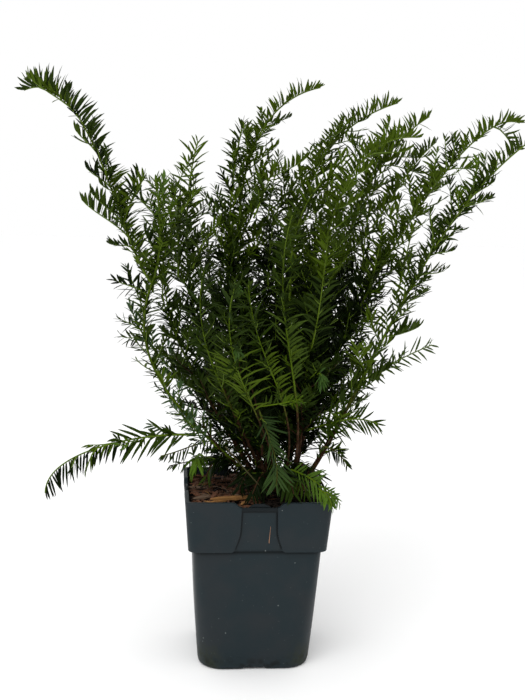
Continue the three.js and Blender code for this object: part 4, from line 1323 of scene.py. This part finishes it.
def side_shoots(name, line, plant):
    """Side shoots of one leader, from its tip down, each turned by the golden angle from the last.
    They are short and far apart near the tip, and lengthen downwards to the leader's reach and
    close up. Each leaves at about fifty degrees and bends back towards the leader's way and the
    light. Long ones bear smaller shoots in two ranks."""
    row = LEADERS[name]
    rng = np.random.default_rng([plant.seed, row["draw"]])
    shoots = []
    turn = rng.uniform(0, TAU)
    distance = line.length - min(plant.clear_tip, 0.5 * line.length)
    lowest = line.length * max(row["bare"], 0.05)
    while distance > lowest:
        from_tip = line.length - distance
        below_tip = max(from_tip - plant.clear_tip, 0)
        length = min(plant.side_first + plant.side_gain * below_tip, row["reach"])
        length *= rng.uniform(*SIDE_SPREAD)
        foot, way = line.at(distance), line.way(distance)
        side = unit(np.cross(way, NEARLY_UP))
        other = np.cross(side, way)
        outward = side * math.cos(turn) + other * math.sin(turn)
        lean = math.radians(rng.uniform(*SIDE_LEAN))
        start_way = unit(way * math.cos(lean) + outward * math.sin(lean))
        tip_way = unit(start_way + 0.45 * way + 0.22 * UP)
        tip = foot + unit(start_way + tip_way) * length
        half = int(from_tip < 0.5 * line.length)
        tint = pick(rng, SPRAYS[row["tints"][half]])
        sits = row["habits"][half]
        if sits in MIXED_HABITS:
            sits = pick(rng, SIDE_HABITS)
        needle = row["lengths"][half] * (0.74 + 0.24 * min(length / 0.03, 1))
        radii = (plant.twig_radius * (0.7 + 11 * length), plant.twig_radius * 0.5)
        child = side_line(foot, start_way, tip, tip_way)
        shoots.append(Shoot(child, radii, [(0.0, 1.0, sits, needle, tint)]))
        if length > LONG_SIDE:
            shoots += small_shoots(child, sits, needle * 0.9, tint, plant, rng)
        spacing = plant.side_step * (1 + 0.7 * math.exp(-below_tip / CROWDING_DISTANCE))
        distance -= spacing * row["step"] * rng.uniform(0.7, 1.3)
        turn += GOLDEN_TURN + rng.normal(0, 0.25)
    return shoots


def small_shoots(parent, sits, needle, tint, plant, rng):
    """Small shoots in two ranks along a long side shoot."""
    shoots = []
    hand = rng.choice([-1, 1])
    radii = (plant.twig_radius * 0.65, plant.twig_radius * 0.45)
    for distance in np.arange(0.35, 0.85, SMALL_STEP / parent.length) * parent.length:
        foot, way = parent.at(distance), parent.way(distance)
        side = unit(np.cross(way, NEARLY_UP)) * hand
        start_way = unit(way + side * 1.1)
        tip_way = unit(start_way + 0.5 * way + 0.2 * UP)
        tip = foot + unit(start_way + tip_way) * rng.uniform(*SMALL_LENGTHS)
        line = side_line(foot, start_way, tip, tip_way, 7)
        shoots.append(Shoot(line, radii, [(0.0, 1.0, sits, needle, tint)]))
        hand = -hand
    return shoots


def grow(plant):
    """All the shoots of the plant: the leaders, and what grows from them."""
    rng = np.random.default_rng(plant.seed)
    lines = {name: Line(bezier(row["curve"], LEADER_POINTS)) for name, row in LEADERS.items()}
    leaders = []
    sides = placed_shoots(lines, plant, rng)
    for name, line in lines.items():
        row = LEADERS[name]
        joint = row["joint"] or rng.uniform(0.46, 0.58)
        tints = [pick(rng, SPRAYS[tint]) for tint in row["tints"]]
        ends = [(row["bare"], joint), (joint, 1.0)]
        runs = [(*span, *rest) for span, *rest in zip(ends, row["habits"], row["lengths"], tints)]
        leaders.append(Shoot(line, row["radii"] * plant.stem_share, runs))
        sides += side_shoots(name, line, plant)
    return leaders, sides


# ---- Needles ---------------------------------------------------------------------------------

# Needles lean TIP_LEAN degrees off the shoot at its tip and by their habit's lean from YOUNG_END
# below it; a few, STRAY_SHARE, stand anywhere round the shoot.
TIP_LEAN = 28
YOUNG_END = 0.022
STRAY_SHARE = 0.04
FEWEST_NEEDLES = 6

# What a needle has: the point where it starts, the way it leaves, the way its upper side faces, how
# long and wide it is, how its tip is shifted and its tint.
NEEDLE_PARTS = ("foot", "ahead", "facing", "length", "width", "bend", "tint")

# Settles which side is up on a shoot that stands upright.
NUDGE = 0.02 * np.array([0.3, 1.0, 0.0])


def needles_on(shoot, run, plant, rng):
    """The needles of a run, as one array for each of their parts. They stand every needle_step or
    so, closer at the tip. They lean well off the shoot in its middle and forwards at its tip, where
    they are short, as they are where a year's growth starts."""
    start, end, habit_name, full, tint = run
    line, sits = shoot.line, HABITS[habit_name]
    low, high = start * line.length, end * line.length
    count = max(int((high - low) / (plant.needle_step * sits["step"])), FEWEST_NEEDLES)
    u = (np.arange(count) + rng.uniform(0.3, 0.7, count)) / count
    distance = low + (high - low) * (1 - (1 - u) ** 1.15)
    to_tip, from_joint = line.length - distance, distance - low
    way = line.way(distance)
    upward = unit(UP - way * way[:, 2:3] + NUDGE)
    upward = unit(upward - way * (upward * way).sum(1, keepdims=True))
    sideways = np.cross(way, upward)
    order = np.arange(count)
    if sits["spread"] is None:
        turn = order * GOLDEN_TURN + rng.normal(0, 0.3, count)
    else:
        in_first = np.floor((order + 1) * sits["first"]) > np.floor(order * sits["first"])
        scatter = rng.normal(0, math.radians(sits["scatter"]), count)
        turn = np.where(in_first, 1.0, -1.0) * np.radians(sits["spread"]) + scatter
    stray = rng.random(count) < STRAY_SHARE
    turn = np.where(stray, rng.uniform(0, TAU, count), turn) + sits["roll"]
    grown = smooth(to_tip, 0.0, YOUNG_END)
    lean = np.radians(TIP_LEAN + (sits["lean"] - TIP_LEAN) * grown + rng.normal(0, 5, count))
    radial = upward * np.cos(turn)[:, None] + sideways * np.sin(turn)[:, None]
    ahead = way * np.cos(lean)[:, None] + radial * np.sin(lean)[:, None]
    near_tip = 0.45 + 0.55 * smooth(to_tip, -0.004, 0.02)
    near_joint = 0.65 + 0.35 * smooth(from_joint, 0, 0.014)
    length = full * near_tip * near_joint * rng.uniform(0.82, 1.12, count)
    outer_face = upward * math.cos(sits["roll"]) + sideways * math.sin(sits["roll"])
    facing = sits["facing"] * outer_face + (1 - sits["facing"]) * way + rng.normal(0, 0.24, (count, 3))
    bend = sits["sickle"] * (0.3 * radial - way) + sits["lift"] * UP + rng.normal(0, 0.03, (count, 3))
    foot = line.at(distance) + radial * (shoot.radius(distance / line.length) * 0.7)[:, None]
    width = np.full(count, sits["width"] * plant.needle_width)
    tints = np.full(count, tint, dtype=object)
    return dict(zip(NEEDLE_PARTS, (foot, ahead, facing, length, width, bend, tints)))


# Where a needle's sections stand, as shares of its length, and their half widths as shares of half
# its width; its points in all; and how high its midrib stands, as a share of the half width.
STATIONS = np.array([0.0, 0.2, 0.58, 0.87, 1.0])
HALF_WIDTHS = np.array([0.45, 0.95, 0.92, 0.44])
NEEDLE_POINTS = 3 * len(HALF_WIDTHS) + 1
RIB_HEIGHT = 0.34


def needle_points(needles):
    """The needles' points, all at once. Along each, four three-cornered sections, left edge, raised
    midrib and right edge, of the half widths above, and one point at the tip. The middle line is
    foot + ahead L t + bend L t^2, and each section stands square to it."""
    foot, ahead, facing, length, width, bend = (needles[part] for part in NEEDLE_PARTS[:-1])
    t = STATIONS[None, :, None]
    span = length[:, None, None]
    line = foot[:, None] + ahead[:, None] * span * t + bend[:, None] * span * t ** 2
    along = unit(ahead[:, None] + 2 * bend[:, None] * t)[:, :-1]
    across = unit(np.cross(facing[:, None], along))
    above = np.cross(along, across)
    half = (width / 2 * (0.7 + 0.3 * length / length.max()))[:, None] * HALF_WIDTHS
    left = line[:, :-1] - across * half[..., None]
    rib = line[:, :-1] + above * (half * RIB_HEIGHT)[..., None]
    right = line[:, :-1] + across * half[..., None]
    sections = np.stack([left, rib, right], 2)
    return np.concatenate([sections.reshape(len(foot), -1, 3), line[:, -1:]], 1)


def needle_faces(count):
    """Faces of the needles: upper left, upper right and underside for each span, three at the tip
    and one at the foot. Gives the quads, the triangles and the slot of each, 1 for the underside."""
    quads, quad_slots = [], []
    for left in range(0, NEEDLE_POINTS - 4, 3):
        rib, right = left + 1, left + 2
        quads.append((left, rib, rib + 3, left + 3))
        quads.append((rib, right, right + 3, rib + 3))
        quads.append((right, left, left + 3, right + 3))
        quad_slots += [0, 0, 1]
    left, rib, right, tip = range(NEEDLE_POINTS - 4, NEEDLE_POINTS)
    triangles = [(left, rib, tip), (rib, right, tip), (right, left, tip), (2, 1, 0)]
    triangle_slots = [0, 0, 1, 0]
    shift = np.arange(count)[:, None, None] * NEEDLE_POINTS
    quads = (np.array(quads)[None] + shift).reshape(-1, 4)
    triangles = (np.array(triangles)[None] + shift).reshape(-1, 3)
    return quads, triangles, np.tile(quad_slots, count), np.tile(triangle_slots, count)


# Needles in one piece at most, which keeps a piece under 190,000 triangles.
MOST_NEEDLES = 8500


def build_needles(shoots, plant):
    """All needles, joined by tint into pieces that stay under the limit."""
    rng = np.random.default_rng(plant.seed + 1)
    runs = [needles_on(shoot, run, plant, rng) for shoot in shoots for run in shoot.runs]
    needles = {part: np.concatenate([run[part] for run in runs]) for part in NEEDLE_PARTS}
    pieces = []
    for tint, (upper, under) in TINTS.items():
        chosen = np.flatnonzero(needles["tint"] == tint)
        materials = [needle_finish(f"needle_{tint}", upper, 0.38),
                     needle_finish(f"needle_{tint}_under", under, 0.6)]
        parts = max(1, math.ceil(len(chosen) / MOST_NEEDLES))
        for number, some in enumerate(np.array_split(chosen, parts), 1):
            if not len(some):
                continue
            clay = Clay()
            mine = {part: values[some] for part, values in needles.items()}
            clay.add(needle_points(mine), *needle_faces(len(some)))
            pieces.append(clay.piece(f"needles_{tint}_{number}", materials, smooth=False))
    return pieces


# ---- Stems and twigs -------------------------------------------------------------------------


# Stems that start below this height rise from the soil, and go on this far into it.
SOIL_LEVEL = 0.165
STEM_DEPTH = 0.010
STEM_STEP = 0.003
STEM_SIDES = 12

# Youth is 0 at this height and 1 this much higher; a shoot's stem starts out at least so young.
OLD_HEIGHT = 0.150
YOUTH_RISE = 0.25
SHOOT_YOUTH = 0.37

CROWN_RINGS = 14
CROWN_SIDES = 48

TWIG_STEP = 0.005
TWIG_SIDES = 5


def bark_relief(phase):
    """How the bark's ridges and flakes scale a stem's radius, round it and along it: slow waves, and
    the cubed upper halves of quick ones, that fade up the stem."""
    def relief(turn, distance):
        broad = 0.07 * np.sin(3 * turn + 60 * distance + phase)
        ridges = broad + 0.05 * np.sin(5 * turn - 210 * distance + 2 * phase)
        flakes = 0.06 * np.maximum(np.sin(2 * turn + 900 * distance + 3 * phase), 0) ** 3
        fade = np.clip(1.2 - distance / 0.16, 0.15, 1)
        return 1 + (ridges + flakes) * fade
    return relief


def stem_grid(shoot, green, phase):
    """One stem as a tube, and how young its bark is at each point. A stem that leaves the soil flares
    there by 0.9 exp(-distance / 8 mm) and goes on straight into the soil."""
    line = shoot.line
    rises_from_soil = line.points[0][2] < SOIL_LEVEL
    start = -STEM_DEPTH if rises_from_soil else 0.0
    distances = np.concatenate([np.arange(start, line.length, STEM_STEP), [line.length]])
    inside = np.clip(distances, 0, line.length)
    radii = shoot.radius(inside / line.length)
    if rises_from_soil:
        radii = radii * (1 + 0.9 * np.exp(-(inside + 0.002) / 0.008))
    points = tube_grid(line, inside, radii, STEM_SIDES, bark_relief(phase))
    points = points + line.ways[0] * np.minimum(distances, 0)[:, None, None]
    youth = (line.at(inside)[:, 2] - OLD_HEIGHT) / YOUTH_RISE + green
    youth = np.clip(youth, SHOOT_YOUTH * (green >= 0 and not rises_from_soil), 1)
    return points, np.repeat(youth, STEM_SIDES).reshape(len(youth), STEM_SIDES)


def build_stems(leaders, plant):
    """The root crown and every leader's stem, each with bark waves of its own."""
    clay = Clay()
    for order, (shoot, row) in enumerate(zip(leaders, LEADERS.values())):
        points, youth = stem_grid(shoot, row["green"], order * 1.9)
        clay.rings(points, shades=youth)
    no_youth = np.zeros((CROWN_RINGS, CROWN_SIDES))
    clay.rings(root_crown_points(), shades=no_youth)
    return clay.piece("stems", [stem_bark(plant.bark, plant.shoot)], attribute="youth")


def root_crown_points():
    """The woody knot that the stems rise from: rings of a flared oval with ribs between the stems."""
    low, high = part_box("root_crown")
    middle = (np.array(low) + np.array(high)) / 2
    half = (np.array(high) - np.array(low)) / 2
    t = np.linspace(0, 1, CROWN_RINGS)[:, None]
    turn = np.arange(CROWN_SIDES)[None] / CROWN_SIDES * TAU
    ribs = 1 + 0.08 * np.sin(7 * turn + 0.6 + 2 * t) + 0.05 * np.sin(13 * turn - 3 * t)
    wide = (1 - 0.24 * t - 0.42 * smooth(t, 0.6, 1.0)) * ribs
    x = middle[0] + half[0] * wide * np.cos(turn)
    y = middle[1] + half[1] * wide * np.sin(turn)
    z = low[2] + (high[2] - low[2]) * t * (1 + 0.12 * np.sin(4 * turn))
    return np.stack([x, y, z], -1)


def is_brown(shoot):
    """Whether a side shoot's stem is brown: one in the dark of the crown, low down and not short."""
    in_shade = shoot.runs[0][-1] in ("dark", "deep")
    return in_shade and shoot.line.length > 0.02 and shoot.line.points[0][2] < 0.26


def build_twigs(sides, plant):
    """The side shoots' stems: five-sided tubes, green where young and brown where old."""
    young, old = Clay(), Clay()
    for shoot in sides:
        line = shoot.line
        rings = max(4, int(line.length / TWIG_STEP))
        distances = np.linspace(0, line.length, rings)
        radii = shoot.radius(distances / line.length)
        radii[-1] *= 0.4
        tube = tube_grid(line, distances, radii, TWIG_SIDES)
        (old if is_brown(shoot) else young).rings(tube)
    return [young.piece("green_twigs", [plain("green_twig", plant.shoot, 0.5)]),
            old.piece("brown_twigs", [plain("brown_twig", plant.bark, 0.8, 0.2)])]


# ---- Stage -----------------------------------------------------------------------------------

SENSOR_MM = 36
FLOOR_RADIUS = 20.0
FLOOR_SIDES = 64

# How bright the sky is low down and overhead, against the strength in the settings, between these
# two heights of a unit sphere.
SKY_BRIGHTNESS = (0.55, 1.5)
SKY_HEIGHTS = (-0.2, 1.0)


def build_camera(stage):
    """The camera: stands at the distance and height given, turned, tilted and rolled."""
    turn, pitch, roll = stage.turn, stage.pitch, stage.roll
    forward = np.array([-math.sin(turn), math.cos(turn), 0])
    right = np.array([math.cos(turn), math.sin(turn), 0])
    place = -forward * stage.distance + right * stage.side + UP * stage.height
    look = forward * math.cos(pitch) - UP * math.sin(pitch)
    top = UP * math.cos(pitch) + forward * math.sin(pitch)
    rolled_right = right * math.cos(roll) + top * math.sin(roll)
    rolled_top = -right * math.sin(roll) + top * math.cos(roll)
    camera = bpy.data.objects.new("camera", bpy.data.cameras.new("camera"))
    camera.data.sensor_width = SENSOR_MM
    camera.data.lens = stage.lens
    camera.data.clip_start = 0.01
    axes = np.stack([rolled_right, rolled_top, -look, place], 1)
    camera.matrix_world = Matrix([*axes.tolist(), [0, 0, 0, 1]])
    bpy.context.scene.collection.objects.link(camera)
    bpy.context.scene.camera = camera


def soft_light(name, place, target, width, power):
    """A square soft light that looks at a point."""
    lamp = bpy.data.lights.new(name, "AREA")
    lamp.size = width
    lamp.energy = power
    light = bpy.data.objects.new(name, lamp)
    light.location = place
    light.rotation_euler = (Vector(target) - Vector(place)).to_track_quat("-Z", "Y").to_euler()
    bpy.context.scene.collection.objects.link(light)


def build_world(stage):
    """Soft light from all round, strongest overhead; straight ahead the camera sees plain white."""
    world = bpy.data.worlds.new("studio")
    bpy.context.scene.world = world
    world.use_nodes = True
    tree = world.node_tree
    nodes, links = tree.nodes, tree.links
    place = nodes.new("ShaderNodeTexCoord")
    split = nodes.new("ShaderNodeSeparateXYZ")
    ramp = nodes.new("ShaderNodeMapRange")
    ends = ("From Min", "From Max", "To Min", "To Max")
    for name, value in zip(ends, (*SKY_HEIGHTS, *SKY_BRIGHTNESS)):
        ramp.inputs[name].default_value = value
    seen = nodes.new("ShaderNodeLightPath")
    background = nodes["Background"]
    lit = nodes.new("ShaderNodeBackground")
    mix = nodes.new("ShaderNodeMixShader")
    links.new(place.outputs["Generated"], split.inputs[0])
    links.new(split.outputs["Z"], ramp.inputs["Value"])
    links.new(ramp.outputs[0], lit.inputs["Color"])
    lit.inputs["Strength"].default_value = stage.sky
    background.inputs["Color"].default_value = (1, 1, 1, 1)
    background.inputs["Strength"].default_value = 1.0
    links.new(seen.outputs["Is Camera Ray"], mix.inputs[0])
    links.new(lit.outputs[0], mix.inputs[1])
    links.new(background.outputs[0], mix.inputs[2])
    links.new(mix.outputs[0], nodes["World Output"].inputs["Surface"])


def build_stage(stage):
    """Floor, light and camera."""
    radius = np.linspace(0.02, 1, 24) ** 2 * FLOOR_RADIUS
    turn = np.arange(FLOOR_SIDES) / FLOOR_SIDES * TAU
    x, y = radius[:, None] * np.cos(turn), radius[:, None] * np.sin(turn)
    clay = Clay()
    clay.rings(np.stack([x, y, np.zeros_like(x)], -1), ends=False)
    floor = clay.piece("floor", [plain("pale_floor", (0.95, 0.95, 0.95), 0.9, 0.1)])
    soft_light("key_light", (-0.8, -1.5, 1.9), (0, 0, 0.3), 1.6, stage.key)
    build_world(stage)
    build_camera(stage)
    scene = bpy.context.scene
    scene.view_settings.view_transform = "Standard"
    scene.view_settings.look = "None"


# ---- Add-on ----------------------------------------------------------------------------------


def finish_piece(piece, slot, *nodes):
    """Ties a piece to the frame: it rides on the one body and stands for nodes, which it hides. slot is not
    used.
    """
    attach(piece, "root")
    if nodes:
        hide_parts(*nodes)


def plant_nodes():
    """The frame's nodes of the plant: the woody ones, and the masses of foliage."""
    names = [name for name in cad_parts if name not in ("pot", "potting_soil")]
    woody = [name for name in names if name.endswith("_stem") or name == "root_crown"]
    return woody, [name for name in names if name not in woody]


class YEW_OT_pot(bpy.types.Operator):
    """Builds the nursery pot"""

    bl_idname = "yew.pot"
    bl_label = "Nursery Pot"

    def execute(self, context):
        piece = build_pot(context.scene.yew_pot)
        finish_piece(piece, "pot", "pot")
        return {"FINISHED"}


class YEW_OT_soil(bpy.types.Operator):
    """Builds the soil and the bark mulch on it"""

    bl_idname = "yew.soil"
    bl_label = "Soil and Mulch"

    def execute(self, context):
        scene = context.scene
        finish_piece(build_soil(scene.yew_pot, scene.yew_soil), "soil", "potting_soil")
        finish_piece(build_mulch(scene.yew_pot, scene.yew_soil), "soil")
        return {"FINISHED"}


class YEW_OT_plant(bpy.types.Operator):
    """Grows the yew: stems, twigs and needles"""

    bl_idname = "yew.plant"
    bl_label = "Yew"

    def execute(self, context):
        plant = context.scene.yew_plant
        woody, masses = plant_nodes()
        leaders, sides = grow(plant)
        finish_piece(build_stems(leaders, plant), "bark", *woody)
        for piece in build_twigs(sides, plant):
            finish_piece(piece, "bark")
        first, *others = build_needles(leaders + sides, plant)
        finish_piece(first, "foliage", *masses)
        for piece in others:
            finish_piece(piece, "foliage")
        return {"FINISHED"}


class YEW_OT_stage(bpy.types.Operator):
    """Sets the floor, the light and the camera"""

    bl_idname = "yew.stage"
    bl_label = "Stage"

    def execute(self, context):
        build_stage(context.scene.yew_stage)
        return {"FINISHED"}


class YEW_PT_panel(bpy.types.Panel):
    """The sidebar tab with every builder and its settings"""

    bl_idname = "YEW_PT_panel"
    bl_label = "Potted Yew"
    bl_space_type = "VIEW_3D"
    bl_region_type = "UI"
    bl_category = "Yew"

    def draw(self, context):
        for operator, name, group in BUILDERS:
            box = self.layout.box()
            box.operator(operator.bl_idname)
            for setting in group.__annotations__:
                box.prop(getattr(context.scene, name), setting)


# Each operator, the name of its settings in the scene and their class, in building order.
BUILDERS = [
    (YEW_OT_stage, "yew_stage", StageSettings),
    (YEW_OT_pot, "yew_pot", PotSettings),
    (YEW_OT_soil, "yew_soil", SoilSettings),
    (YEW_OT_plant, "yew_plant", PlantSettings),
]


def register():
    """Registers the settings, the operators and the panel."""
    for operator, name, group in BUILDERS:
        bpy.utils.register_class(group)
        setattr(bpy.types.Scene, name, PointerProperty(type=group))
        bpy.utils.register_class(operator)
    bpy.utils.register_class(YEW_PT_panel)


def unregister():
    """Takes them all away again."""
    bpy.utils.unregister_class(YEW_PT_panel)
    for operator, name, group in BUILDERS:
        bpy.utils.unregister_class(operator)
        delattr(bpy.types.Scene, name)
        bpy.utils.unregister_class(group)


def main():
    """Builds everything in order."""
    register()
    bpy.ops.yew.stage()
    bpy.ops.yew.pot()
    bpy.ops.yew.soil()
    bpy.ops.yew.plant()


if __name__ == "__main__":
    main()
